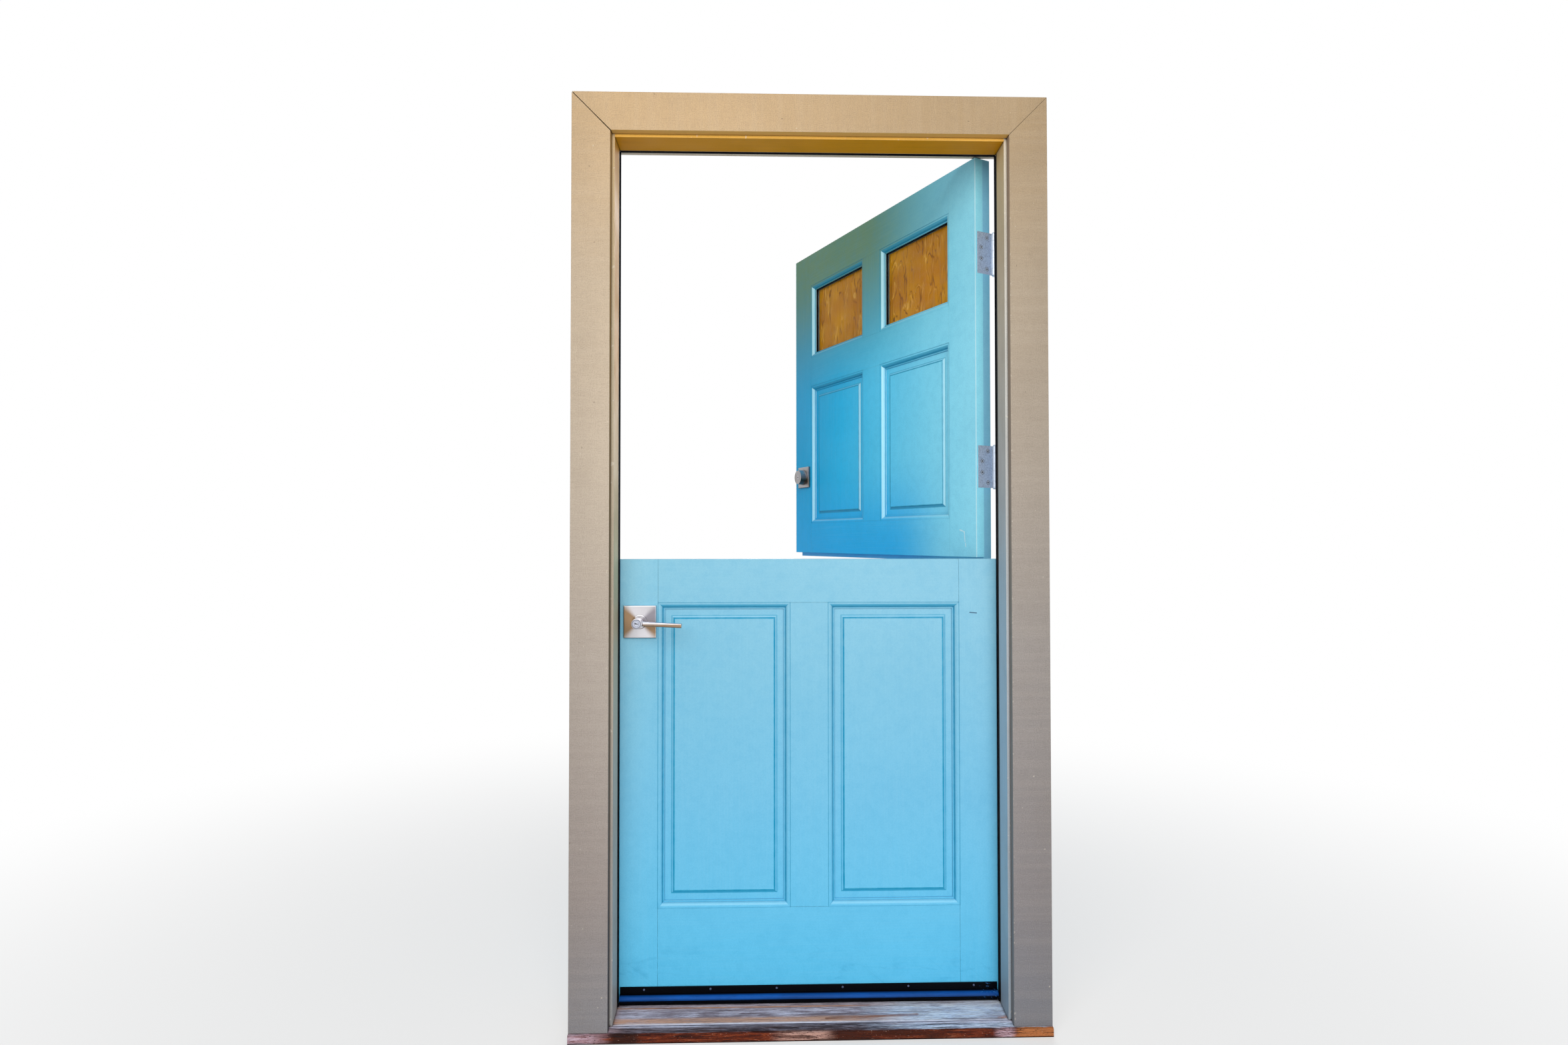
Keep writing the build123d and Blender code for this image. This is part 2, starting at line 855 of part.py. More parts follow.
def frame_screws():
    """Screws of the jamb's hinge plates and of the two strikes."""
    screws = []
    for middle in upper_hinge_middles + lower_hinge_middles:
        for y, z in hinge_screw_places(middle):
            screws.append(countersink((rabbet_x, y, z), (1, 0, 0), hinge_plate_thick, 0))
    for z in (lever_z, deadbolt_z):
        for sign in (1, -1):
            place = (-rabbet_x, mid_y, z + sign * strike_screw_offset)
            screws.append(countersink(place, (-1, 0, 0), strike_thick, 0))
    return Compound(children=screws)


def leaf_screws(middles, lock_z):
    """Screws of one leaf's hinge plates and of its lock's face plate."""
    screws = []
    for middle in middles:
        for y, z in hinge_screw_places(middle):
            screws.append(countersink((leaf_edge, y, z), (-1, 0, 0), hinge_plate_thick, 0))
    for sign in (1, -1):
        place = (-leaf_edge, mid_y, lock_z + sign * face_screw_offset)
        screws.append(countersink(place, (1, 0, 0), face_plate_thick, 0))
    return screws


def sweep_screw_places():
    """X of the drip rail's screws, spaced evenly about the middle."""
    first = -sweep_screw_pitch * (sweep_screw_count - 1) / 2
    return [first + sweep_screw_pitch * index for index in range(sweep_screw_count)]


def lower_leaf_screws():
    """Screws of the lower leaf's hinge plates, face plate and drip rail."""
    screws = leaf_screws(lower_hinge_middles, lever_z)
    face = leaf_out - sweep_thick
    crown = face - sweep_screw_height
    z = lower_bottom + sweep_height - sweep_screw_below_top
    for x in sweep_screw_places():
        head = cone(sweep_screw_radius, sweep_screw_crown_radius, (x, face, z), (x, crown, z))
        screws.append(head)
    return Compound(children=screws)


def strike(z):
    """Strike plate flush in the lock-side jamb, with a lip over the jamb's inner edge."""
    face = -rabbet_x
    back = face - strike_thick
    plate = block((back, face), around(mid_y, strike_width), around(z, strike_height))
    lip_z = around(z, strike_lip_height)
    plate += block((back, face), (mid_y + strike_width / 2 - over, frame_back), lip_z)
    curl_y = (frame_back, frame_back + strike_thick)
    plate += block((back - strike_lip_reach, face), curl_y, lip_z)
    plate -= bolt_hole(z, back - over, face + over)
    for sign in (1, -1):
        place = (face, mid_y, z + sign * strike_screw_offset)
        plate -= countersink(place, (-1, 0, 0), strike_thick, screw_head_play)
    return plate


def lock_case(z):
    """Tube of a bolt with its face plate, and a flat tail round the spindle."""
    face = -leaf_edge
    plate_y = around(mid_y, face_plate_width)
    plate = block((face, face + face_plate_thick), plate_y, around(z, face_plate_height))
    tube_end = face + case_length
    tube = rod(case_radius, (face + over, mid_y, z), (tube_end, mid_y, z))
    tail_x = (tube_end - over, tube_end + case_tail_length)
    tail = block(tail_x, around(mid_y, case_tail_thick), around(z, case_tail_height))
    pocket_x = (face - over, face + bolt_length + bolt_play)
    pocket_y = around(mid_y, bolt_width + 2 * bolt_play)
    body = plate + tube + tail
    body -= block(pocket_x, pocket_y, around(z, bolt_height + 2 * bolt_play))
    body -= rod(case_tail_bore_radius, (lock_x, leaf_out, z), (lock_x, leaf_in, z))
    for sign in (1, -1):
        place = (face, mid_y, z + sign * face_screw_offset)
        body -= countersink(place, (1, 0, 0), face_plate_thick, screw_head_play)
    return body


def bolt(z):
    """A bolt drawn back flush with its face plate."""
    length = (-leaf_edge, -leaf_edge + bolt_length)
    return block(length, around(mid_y, bolt_width), around(z, bolt_height))


def latch_bolt():
    """Latch bolt with its nose bevelled on the outer side, which meets the strike first."""
    nose = -leaf_edge
    outer = mid_y - bolt_width / 2
    wedge = [
        (nose - over, outer - over),
        (nose + latch_bevel_depth, outer - over),
        (nose + latch_bevel_depth, outer),
        (nose, mid_y + bolt_width / 2 - latch_bevel_flat),
        (nose - over, mid_y + bolt_width / 2 - latch_bevel_flat),
    ]
    return bolt(lever_z) - along_z(wedge, *around(lever_z, 2 * bolt_height))


def rose(z, size, thick, outward):
    """Square rose with softened edges and the round drum that sits in the cross bore."""
    face = leaf_out if outward < 0 else leaf_in
    plate = block(around(lock_x, size), (face, face + outward * thick), around(z, size))
    front = plate.faces().sort_by(Axis.Y)[0 if outward < 0 else -1]
    plate = fillet(front.edges(), rose_round)
    drum_from = (lock_x, face + outward * over, z)
    drum = rod(drum_radius, drum_from, (lock_x, face - outward * drum_depth, z))
    return plate + drum


def lever_rose(outward):
    """Rose of a lever with the raised collar that its neck turns in."""
    face = leaf_out if outward < 0 else leaf_in
    top = face + outward * rose_thick
    collar_from = (lock_x, top - outward * over, lever_z)
    collar_to = (lock_x, top + outward * collar_height, lever_z)
    body = rose(lever_z, rose_size, rose_thick, outward)
    body += cone(collar_radius, collar_radius - collar_taper, collar_from, collar_to)
    far = (lock_x, top + outward * (collar_height + over), lever_z)
    return body - rod(neck_radius + running, (lock_x, mid_y, lever_z), far)


def lever_handle(outward):
    """Neck, round head and slim bar of one lever, drooping a little towards its end."""
    face = leaf_out if outward < 0 else leaf_in
    end = face + outward * lever_reach_out
    neck_from = face - outward * (drum_depth - over)
    bar_y = end - outward * head_length / 2
    neck = rod(neck_radius, (0, neck_from, 0), (0, bar_y, 0))
    head = rod(head_radius, (0, end, 0), (0, end - outward * head_length, 0))
    rim = head.edges().filter_by(GeomType.CIRCLE).sort_by(Axis.Y)[0 if outward < 0 else -1]
    head = fillet(rim, head_round)
    bar = block((0, lever_length), around(bar_y, lever_depth), around(0, lever_height))
    bar = fillet(bar.edges().filter_by(Axis.X), lever_round)
    tip = bar.faces().sort_by(Axis.X)[-1]
    bar = fillet(tip.edges(), lever_round / 2)
    return Pos(lock_x, 0, lever_z) * Rot(0, lever_droop, 0) * (neck + head + bar)


def outer_lever():
    """Outer lever with the square spindle that turns the inner one, bored for its key plug."""
    inner_end = leaf_in + rose_thick + collar_height
    side = around(lock_x, spindle_size)
    body = lever_handle(-1) + block(side, (leaf_out, inner_end), around(lever_z, spindle_size))
    mouth = (lock_x, lever_end_y - over, lever_z)
    bottom = (lock_x, lever_end_y + plug_length + plug_end_play, lever_z)
    return body - rod(plug_radius + running, mouth, bottom)


def inner_lever():
    """Inner lever with the square socket that takes the outer one's spindle."""
    size = spindle_size + 2 * spindle_play
    depth = leaf_in + rose_thick + collar_height + spindle_play
    socket = block(around(lock_x, size), (leaf_in - drum_depth, depth), around(lever_z, size))
    return lever_handle(1) - socket


def key_plug(z, front):
    """Plug of a lock with its keyway."""
    body = rod(plug_radius, (lock_x, front, z), (lock_x, front + plug_length, z))
    depth = (front - over, front + keyway_depth)
    return body - block(around(lock_x, keyway_width), depth, around(z, keyway_height))


def deadbolt_outer_rose():
    """Square rose and tapered housing of the deadbolt's key side, bored for plug and tailpiece."""
    foot = (lock_x, leaf_out - deadbolt_rose_thick + over, deadbolt_z)
    front = (lock_x, deadbolt_end_y, deadbolt_z)
    mouth = (lock_x, deadbolt_end_y - over, deadbolt_z)
    bottom = (lock_x, deadbolt_end_y + plug_length + plug_end_play, deadbolt_z)
    body = rose(deadbolt_z, deadbolt_rose_size, deadbolt_rose_thick, -1)
    body += cone(housing_radius, housing_radius - housing_taper, foot, front)
    body -= rod(plug_radius + running, mouth, bottom)
    return body - rod(tailpiece_width / 2 + tailpiece_side_play, front, (lock_x, mid_y, deadbolt_z))


def deadbolt_inner_rose():
    """Square rose that the thumb turn's stem runs in."""
    body = rose(deadbolt_z, deadbolt_rose_size, turn_plate_height, 1)
    far = (lock_x, leaf_in + turn_plate_height + over, deadbolt_z)
    return body - rod(turn_stem_radius + running, (lock_x, mid_y, deadbolt_z), far)


def deadbolt_thumb_turn():
    """Thumb turn with the tailpiece that runs through the bolt's tail to the key plug."""
    top = leaf_in + turn_plate_height + turn_play
    hub_end = top + turn_hub_height
    hub = rod(turn_radius, (lock_x, top, deadbolt_z), (lock_x, hub_end, deadbolt_z))
    stem_from = (lock_x, leaf_in - drum_depth, deadbolt_z)
    stem = rod(turn_stem_radius, stem_from, (lock_x, top + over, deadbolt_z))
    blade_y = (hub_end - over, hub_end + turn_blade_height)
    blade_z = around(deadbolt_z, turn_blade_length)
    blade = block(around(lock_x, turn_blade_thick), blade_y, blade_z)
    blade = fillet(blade.edges().filter_by(Axis.X), turn_blade_round)
    tail_y = (deadbolt_end_y + plug_length + tailpiece_end_play, leaf_in)
    tail_z = around(deadbolt_z, tailpiece_thick)
    return hub + stem + blade + block(around(lock_x, tailpiece_width), tail_y, tail_z)


def joining_bolt_base():
    """Plate and two guides of the bolt that joins the leaves."""
    high = joining_low + joining_plate_height
    face = leaf_in + joining_plate_thick
    body = block(around(lock_x, joining_plate_width), (leaf_in, face), (joining_low, high))
    guide_y = (face - over, joining_y + guide_width / 2)
    for start in (joining_low, high - guide_height):
        body += block(around(lock_x, guide_width), guide_y, (start, start + guide_height))
    ends = ((lock_x, joining_y, joining_low - over), (lock_x, joining_y, high + over))
    return body - rod(joining_radius + joining_play, *ends)


def joining_bolt_slide():
    """Round bolt with a knob, drawn up clear of the lower leaf."""
    top = (lock_x, joining_y, joining_low + joining_length)
    body = rod(joining_radius, (lock_x, joining_y, joining_low), top)
    knob_z = joining_low + guide_height + knob_clear + joining_travel + knob_radius
    root = (lock_x, joining_y, knob_z)
    shoulder = (lock_x, joining_y + knob_reach, knob_z)
    end = (lock_x, joining_y + knob_reach + knob_thick, knob_z)
    return body + rod(knob_stem_radius, root, shoulder) + rod(knob_radius, shoulder, end)


def joining_bolt_keeper():
    """Keeper on the lower leaf that the joining bolt drops into."""
    top = lower_top - lip_drop - keeper_below_edge
    low = top - keeper_plate_height
    face = leaf_in + joining_plate_thick
    body = block(around(lock_x, joining_plate_width), (leaf_in, face), (low, top))
    guide_y = (face - over, joining_y + guide_width / 2)
    body += block(around(lock_x, guide_width), guide_y, (top - guide_height, top))
    ends = ((lock_x, joining_y, low), (lock_x, joining_y, top + over))
    return body - rod(joining_radius + keeper_play, *ends)


def drip_sweep():
    """Flange, bulging drip nose and foot of the rail on the lower leaf's outer face."""
    top = lower_bottom + sweep_height
    face = leaf_out - sweep_thick
    nose_top = top - sweep_flange
    nose_low = nose_top - drip_height
    tip = leaf_out - drip_reach
    lip = tip + drip_lip_thick
    lip_low = nose_low - drip_lip
    foot_back = leaf_in - seal_room
    foot_low = lower_bottom - foot_thick
    shoulder = (tip + drip_shoulder_in, nose_top - drip_shoulder_down)
    nose = (tip, nose_low + drip_nose_height)
    edges = [
        Polyline((leaf_out, top), (face, top), (face, nose_top)),
        ThreePointArc((face, nose_top), shoulder, nose),
        Polyline(nose, (tip, lip_low), (lip, lip_low), (lip, nose_low), (face, nose_low)),
        Polyline((face, nose_low), (face, foot_low), (foot_back, foot_low), (foot_back, lower_bottom)),
        Polyline((foot_back, lower_bottom), (leaf_out, lower_bottom), (leaf_out, top)),
    ]
    section = Plane.YZ.offset(-sweep_half_length) * make_face(edges)
    return extrude(section, amount=2 * sweep_half_length)


def sweep_seal():
    """Rubber strip under the drip rail's foot, with fins as wide as the spaces between them."""
    top = lower_bottom - foot_thick
    low = sill_height + fin_gap
    root = top - fin_web_thick
    start = leaf_out - sweep_thick
    end = leaf_in - seal_room
    runs = 2 * fin_count - 1
    step = (end - start) / runs
    points = [(start, top)]
    for index in range(runs):
        depth = low if index % 2 == 0 else root
        points.append((start + index * step, depth))
        points.append((start + (index + 1) * step, depth))
    points.append((end, top))
    return along_x(points, -sweep_half_length, sweep_half_length)


def upper_pieces():
    """Pieces of the upper leaf, drawn shut."""
    lites = upper_openings()[:2]
    panels = upper_openings()[2:]
    return {
        "upper_lock_stile": upper_lock_stile(),
        "upper_hinge_stile": upper_hinge_stile(),
        "upper_top_rail": upper_top_rail(),
        "upper_middle_rail": upper_middle_rail(),
        "upper_bottom_rail": upper_bottom_rail(),
        "upper_lite_mullion": mullion(lites),
        "upper_panel_mullion": mullion(panels),
        "upper_panel_left": raised_panel(panels[0]),
        "upper_panel_right": raised_panel(panels[1]),
        "lite_glass_left": lite_glass(lites[0]),
        "lite_glass_right": lite_glass(lites[1]),
        "lite_outer_panes": lite_outer_panes(),
        "lite_gaskets": lite_gaskets(),
        "glazing_beads": glazing_beads(),
        "upper_door_hinge_leaves": door_hinge_leaves(upper_hinge_middles),
        "upper_leaf_screws": Compound(children=leaf_screws(upper_hinge_middles, deadbolt_z)),
        "deadbolt_outer_rose": deadbolt_outer_rose(),
        "deadbolt_inner_rose": deadbolt_inner_rose(),
        "deadbolt_case": lock_case(deadbolt_z),
        "deadbolt_bolt": bolt(deadbolt_z),
        "deadbolt_thumb_turn": deadbolt_thumb_turn(),
        "deadbolt_key_plug": key_plug(deadbolt_z, deadbolt_end_y),
        "joining_bolt_base": joining_bolt_base(),
        "joining_bolt_slide": joining_bolt_slide(),
    }


def lower_pieces():
    panels = lower_openings()
    return {
        "lower_lock_stile": lower_lock_stile(),
        "lower_hinge_stile": lower_hinge_stile(),
        "lower_top_rail": lower_top_rail(),
        "lower_bottom_rail": lower_bottom_rail(),
        "lower_mullion": mullion(panels),
        "lower_panel_left": raised_panel(panels[0]),
        "lower_panel_right": raised_panel(panels[1]),
        "lower_door_hinge_leaves": door_hinge_leaves(lower_hinge_middles),
        "lower_leaf_screws": lower_leaf_screws(),
        "drip_sweep": drip_sweep(),
        "sweep_seal": sweep_seal(),
        "outer_rose": lever_rose(-1),
        "inner_rose": lever_rose(1),
        "latch_case": lock_case(lever_z),
        "latch_bolt": latch_bolt(),
        "outer_lever": outer_lever(),
        "inner_lever": inner_lever(),
        "lever_key_plug": key_plug(lever_z, lever_end_y),
        "joining_bolt_keeper": joining_bolt_keeper(),
    }


def frame_pieces():
    return {
        "casing_left": mirrored_x(casing_leg(left_mitre_gap)),
        "casing_right": casing_leg(right_mitre_gap),
        "casing_head": casing_head(),
        "strike_jamb": strike_jamb(),
        "hinge_jamb": hinge_jamb(),
        "head_jamb": head_jamb(),
        "sill": sill(),
        "sill_nosing": sill_nosing(),
        "seal_strike_side": mirrored_x(side_seal()),
        "seal_hinge_side": side_seal(),
        "seal_head": head_seal(),
        "latch_strike": strike(lever_z),
        "deadbolt_strike": strike(deadbolt_z),
        "upper_jamb_hinge_leaves": jamb_hinge_leaves(upper_hinge_middles),
        "lower_jamb_hinge_leaves": jamb_hinge_leaves(lower_hinge_middles),
        "hinge_pins": hinge_pins(),
        "frame_screws": frame_screws(),
    }


def main():
    os.makedirs("parts", exist_ok=True)
    pieces = {name: swung(shape) for name, shape in upper_pieces().items()}
    pieces.update(lower_pieces())
    pieces.update(frame_pieces())
    for name, shape in pieces.items():
        export_step(shape, f"parts/{name}.step")


main()
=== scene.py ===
"""Materials, screw recesses, light and camera for a two-part stable door in its frame.

Lengths are in metres, in the frame of the CAD parts: X to the right from outside, Y inwards, Z up.
"""

import json
import math

import bmesh
import bpy
import numpy as np
from mathutils import Matrix, Vector


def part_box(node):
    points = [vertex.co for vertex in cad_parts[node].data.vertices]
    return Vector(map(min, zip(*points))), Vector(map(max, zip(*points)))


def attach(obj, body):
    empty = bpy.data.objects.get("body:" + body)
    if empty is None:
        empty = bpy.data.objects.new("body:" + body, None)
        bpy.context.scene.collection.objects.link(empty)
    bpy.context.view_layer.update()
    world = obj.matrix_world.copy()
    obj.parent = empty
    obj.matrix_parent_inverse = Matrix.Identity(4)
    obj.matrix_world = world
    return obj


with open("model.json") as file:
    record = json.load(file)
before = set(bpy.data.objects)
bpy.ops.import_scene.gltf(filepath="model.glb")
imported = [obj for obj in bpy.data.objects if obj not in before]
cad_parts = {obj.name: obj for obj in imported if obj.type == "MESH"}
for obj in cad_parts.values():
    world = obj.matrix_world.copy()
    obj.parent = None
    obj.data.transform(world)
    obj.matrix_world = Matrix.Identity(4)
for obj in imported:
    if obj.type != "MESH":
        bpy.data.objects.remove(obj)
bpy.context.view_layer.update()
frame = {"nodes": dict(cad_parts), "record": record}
nodes = frame["nodes"]
joints = {joint["name"]: joint for joint in frame["record"]["behaviour"]["joints"]}

# The upper leaf stands open at rest: this turns its places back to where they are when it is shut
open_angle = math.radians(-joints["upper_leaf_swing"]["range_deg"][0])
pin = Vector(joints["upper_leaf_swing"]["pos_m"])
pin.z = 0.0
shut_turn = Matrix.Rotation(open_angle, 4, "Z")
shut_matrix = Matrix.Translation(pin) @ shut_turn @ Matrix.Translation(-pin)
leaf_direction = shut_turn.inverted() @ Vector((1.0, 0.0, 0.0))

# Camera, fitted to the edges of frame and leaves in the photograph, with its turns in degrees
camera_place = (-0.114, -2.0103, 1.1043)
camera_yaw = -1.561
camera_pitch = 1.077
camera_roll = 0.041
camera_lens = 19.873
sensor_width = 36.0


def rgb(red, green, blue):
    """Colour for a shader from the 0 to 255 values that a screen shows."""
    channels = [value / 255 for value in (red, green, blue)]
    linear = [c / 12.92 if c <= 0.04045 else ((c + 0.055) / 1.055) ** 2.4 for c in channels]
    return (*linear, 1.0)


class Graph:
    """Nodes of a material, or of the world, with short calls for those used here."""

    def __init__(self, name, world=False):
        self.owner = (bpy.data.worlds if world else bpy.data.materials).new(name)
        self.owner.use_nodes = True
        self.tree = self.owner.node_tree
        self.tree.nodes.clear()

    def node(self, kind, inputs=None, **settings):
        """Outputs of a new node."""
        made = self.tree.nodes.new(kind)
        for key, value in settings.items():
            setattr(made, key, value)
        for key, value in (inputs or {}).items():
            self.put(made.inputs[key], value)
        return made.outputs

    def put(self, socket, value):
        if isinstance(value, bpy.types.NodeSocket):
            self.tree.links.new(value, socket)
        else:
            socket.default_value = value

    def math(self, operation, *values, clamp=False):
        inputs = dict(enumerate(values))
        return self.node("ShaderNodeMath", inputs, operation=operation, use_clamp=clamp)[0]

    def vector(self, operation, *values):
        made = self.node("ShaderNodeVectorMath", dict(enumerate(values)), operation=operation)
        return made["Value" if operation in ("LENGTH", "DOT_PRODUCT") else "Vector"]

    def minus(self, value, taken):
        return self.math("SUBTRACT", value, taken)

    def absolute(self, value):
        return self.math("ABSOLUTE", value)

    def radius(self, across, up):
        squares = self.math("MULTIPLY_ADD", across, across, self.math("MULTIPLY", up, up))
        return self.math("SQRT", squares)

    def place(self, shut=False):
        """Where the point lies at rest, or on the upper leaf where it lies when that is shut."""
        at = self.node("ShaderNodeTexCoord")["Object"]
        if not shut:
            return at
        turned = {"Vector": at, "Location": pin - shut_turn @ pin, "Rotation": (0, 0, open_angle)}
        return self.node("ShaderNodeMapping", turned)["Vector"]

    def facing(self, direction):
        """How far the surface of the object faces a direction of its own, from -1 to 1."""
        normal = self.node("ShaderNodeTexCoord")["Normal"]
        return self.vector("DOT_PRODUCT", normal, tuple(direction))

    def split(self, vector):
        return self.node("ShaderNodeSeparateXYZ", {"Vector": vector})[:3]

    def join(self, x=0.0, y=0.0, z=0.0):
        return self.node("ShaderNodeCombineXYZ", {"X": x, "Y": y, "Z": z})[0]

    def noise(self, vector, stretch, detail=3.0, roughness=0.5, distortion=0.0):
        """Noise with its own count of features to the metre along each axis."""
        stretch = stretch if isinstance(stretch, tuple) else (stretch,) * 3
        scaled = self.vector("MULTIPLY", vector, stretch)
        settings = {"Vector": scaled, "Scale": 1.0, "Detail": detail, "Roughness": roughness}
        settings["Distortion"] = distortion
        return self.node("ShaderNodeTexNoise", settings)["Fac"]

    def ease(self, value, low, high, low_out, high_out):
        """Smooth step from low to high."""
        inputs = dict(enumerate((value, low, high, low_out, high_out)))
        return self.node("ShaderNodeMapRange", inputs, interpolation_type="SMOOTHSTEP")[0]

    def rise(self, value, low, high, strength=1.0):
        return self.ease(value, low, high, 0.0, strength)

    def fall(self, value, low, high, strength=1.0):
        return self.ease(value, low, high, strength, 0.0)

    def vary(self, noise, low=0.0, high=1.0):
        """The usual span of a noise spread from low to high."""
        return self.ease(noise, 0.3, 0.7, low, high)

    def flecks(self, vector, stretch, low, high, strength, **noise):
        """The high spots of a noise."""
        return self.rise(self.noise(vector, stretch, **noise), low, high, strength)

    def moved(self, vector, axis, value, amount):
        """A place moved along an axis by a share of a value."""
        aside = self.math("MULTIPLY", value, amount)
        return self.vector("ADD", vector, self.join(**{axis: aside}))

    def ragged(self, place, noise, amount):
        """A coordinate moved by a noise, so that an edge drawn from it is ragged."""
        return self.math("MULTIPLY_ADD", noise, amount, place)

    def near(self, value, middle, half, soft, strength=1.0):
        """Full within half of the middle, falling to nothing over the soft edge."""
        away = self.absolute(self.minus(value, middle))
        return self.fall(away, half, half + soft, strength)

    def opposite(self, mask):
        return self.minus(1.0, mask)

    def fold(self, operation, values):
        made = values[0]
        for value in values[1:]:
            made = self.math(operation, made, value)
        return made

    def every(self, *masks):
        return self.fold("MULTIPLY", masks)

    def either(self, *masks):
        return self.fold("MAXIMUM", masks)

    def mix(self, factor, first, second):
        inputs = {0: factor, 6: first, 7: second}
        return self.node("ShaderNodeMix", inputs, data_type="RGBA")[2]

    def coat(self, base, *layers):
        """Colours laid over the base, given as (mask, red, green, blue) or (mask, colour)."""
        for mask, *colour in layers:
            base = self.mix(mask, base, rgb(*colour) if len(colour) == 3 else colour[0])
        return base

    def ramp(self, factor, *stops):
        """Colours along a factor, from stops given as (position, red, green, blue)."""
        made = self.node("ShaderNodeValToRGB", {"Fac": factor})["Color"]
        elements = made.node.color_ramp.elements
        while len(elements) < len(stops):
            elements.new(1.0)
        for element, (position, *colour) in zip(elements, stops):
            element.position = position
            element.color = rgb(*colour)
        return made

    def from_line(self, across, up, start, end):
        """Distance from a straight line between two points, and how far along it, from 0 to 1."""
        run = Vector(end) - Vector(start)
        dx = self.minus(across, start[0])
        dy = self.minus(up, start[1])
        dot = self.math("MULTIPLY_ADD", dx, run.x, self.math("MULTIPLY", dy, run.y))
        along = self.math("DIVIDE", dot, run.length_squared, clamp=True)
        off_x = self.minus(dx, self.math("MULTIPLY", along, run.x))
        off_y = self.minus(dy, self.math("MULTIPLY", along, run.y))
        return self.radius(off_x, off_y), along

    def stroke(self, across, up, start, end, width):
        """A short straight mark between two points of a plane."""
        return self.fall(self.from_line(across, up, start, end)[0], width * 0.3, width)

    def corner_shade(self, reach, strength=1.0, low=0.35, high=0.85):
        """Painted shade, from ambient occlusion: full deep in a corner, nothing on an open face."""
        made = self.node("ShaderNodeAmbientOcclusion", {"Distance": reach}, samples=8)
        return self.fall(made["AO"], low, high, strength)

    def blend(self, factor, first, second):
        return self.node("ShaderNodeMixShader", {0: factor, 1: first, 2: second})[0]

    def show(self, shader, output="ShaderNodeOutputMaterial"):
        self.node(output, {"Surface": shader})
        return self.owner

    def finish(self, base, roughness, *bumps, edge=0.0, gloss=0.5, **more):
        """The material, with bumps as (height, depth), edges eased by a radius, and its gloss."""
        inputs = {"Base Color": base, "Roughness": roughness, "Specular IOR Level": gloss}
        if edge:
            bevel = self.node("ShaderNodeBevel", {"Radius": edge}, samples=4)
            inputs["Normal"] = bevel["Normal"]
        for height, depth in bumps:
            bump = {"Height": height, "Distance": depth}
            if "Normal" in inputs:
                bump["Normal"] = inputs["Normal"]
            inputs["Normal"] = self.node("ShaderNodeBump", bump)["Normal"]
        inputs.update({key.replace("_", " "): value for key, value in more.items()})
        return self.show(self.node("ShaderNodeBsdfPrincipled", inputs)[0])


def begin(name, shut=False, origin=(0.0, 0.0, 0.0)):
    """A new material's graph, the place of a point and its coordinates from an origin."""
    graph = Graph(name)
    at = graph.place(shut)
    away = graph.vector("SUBTRACT", at, tuple(origin)) if any(origin) else at
    return (graph, at, *graph.split(away))


def box_of(node, shut=False):
    """Lowest and highest corner of a node, for the upper leaf as it is when shut."""
    if not shut:
        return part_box(node)
    points = [shut_matrix @ vertex.co for vertex in nodes[node].data.vertices]
    return [Vector([pick(axis) for axis in zip(*points)]) for pick in (min, max)]


def middle_of(node, shut=False):
    low, high = box_of(node, shut)
    return (low + high) / 2


def add_object(name, data):
    made = bpy.data.objects.new(name, data)
    bpy.context.scene.collection.objects.link(made)
    return made


def dress(material, *names):
    for name in names:
        slots = nodes[name].data.materials
        slots.clear()
        slots.append(material)


# Places read from the frame
lower_low, lower_high = box_of("lower_hinge_stile")
leaf_front = lower_low.y
leaf_middle = (lower_low.y + lower_high.y) / 2
leaf_edge = lower_high.x
stile_edge = box_of("lower_bottom_rail")[1].x
stop_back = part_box("seal_hinge_side")[0].y
sill_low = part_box("sill")[0]
nosing_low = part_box("sill_nosing")[0]
casing_low, casing_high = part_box("casing_right")
jamb_low, jamb_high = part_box("hinge_jamb")
glass_low = box_of("lite_glass_left", shut=True)[0]


def lengthwise(along, length, cross):
    """Features to the metre along a board that runs along X or Z, and across it."""
    return (length, cross, cross) if along == "X" else (cross, cross, length)


# Paint on the leaves

# Blue of the painted shade in the lines and on the down-facing slopes of the mouldings
shade_line_blue = rgb(0, 142, 182)
deep_blue = rgb(10, 140, 190)
dark_blue = rgb(8, 84, 122)

# Painted shade lines round a panel: metres in from the edge of its opening, half of the width,
# strength
moulding_lines = (
    (0.0, 0.0004, 0.4),
    (0.0112, 0.0012, 0.75),
    (0.015, 0.0003, 0.25),
    (0.031, 0.0005, 0.6),
    (0.0368, 0.0012, 0.95),
)
line_softness = 0.0015
foot_start, foot_end = 0.022, 0.018
panel_under_sticking = 0.004
glass_under_sticking = 0.003
seam_half, seam_soft = 0.0003, 0.0005


def opening(node, under, shut=False):
    """Middle and half size, across and up, of the opening round a panel or pane."""
    low, high = box_of(node, shut)
    middle, half = (low + high) / 2, (high - low) / 2
    return middle.x, half.x + under, middle.z, half.z + under


lower_openings = [opening("lower_panel_right", panel_under_sticking)]
upper_openings = [
    opening("upper_panel_right", panel_under_sticking, shut=True),
    opening("lite_glass_right", glass_under_sticking, shut=True),
]


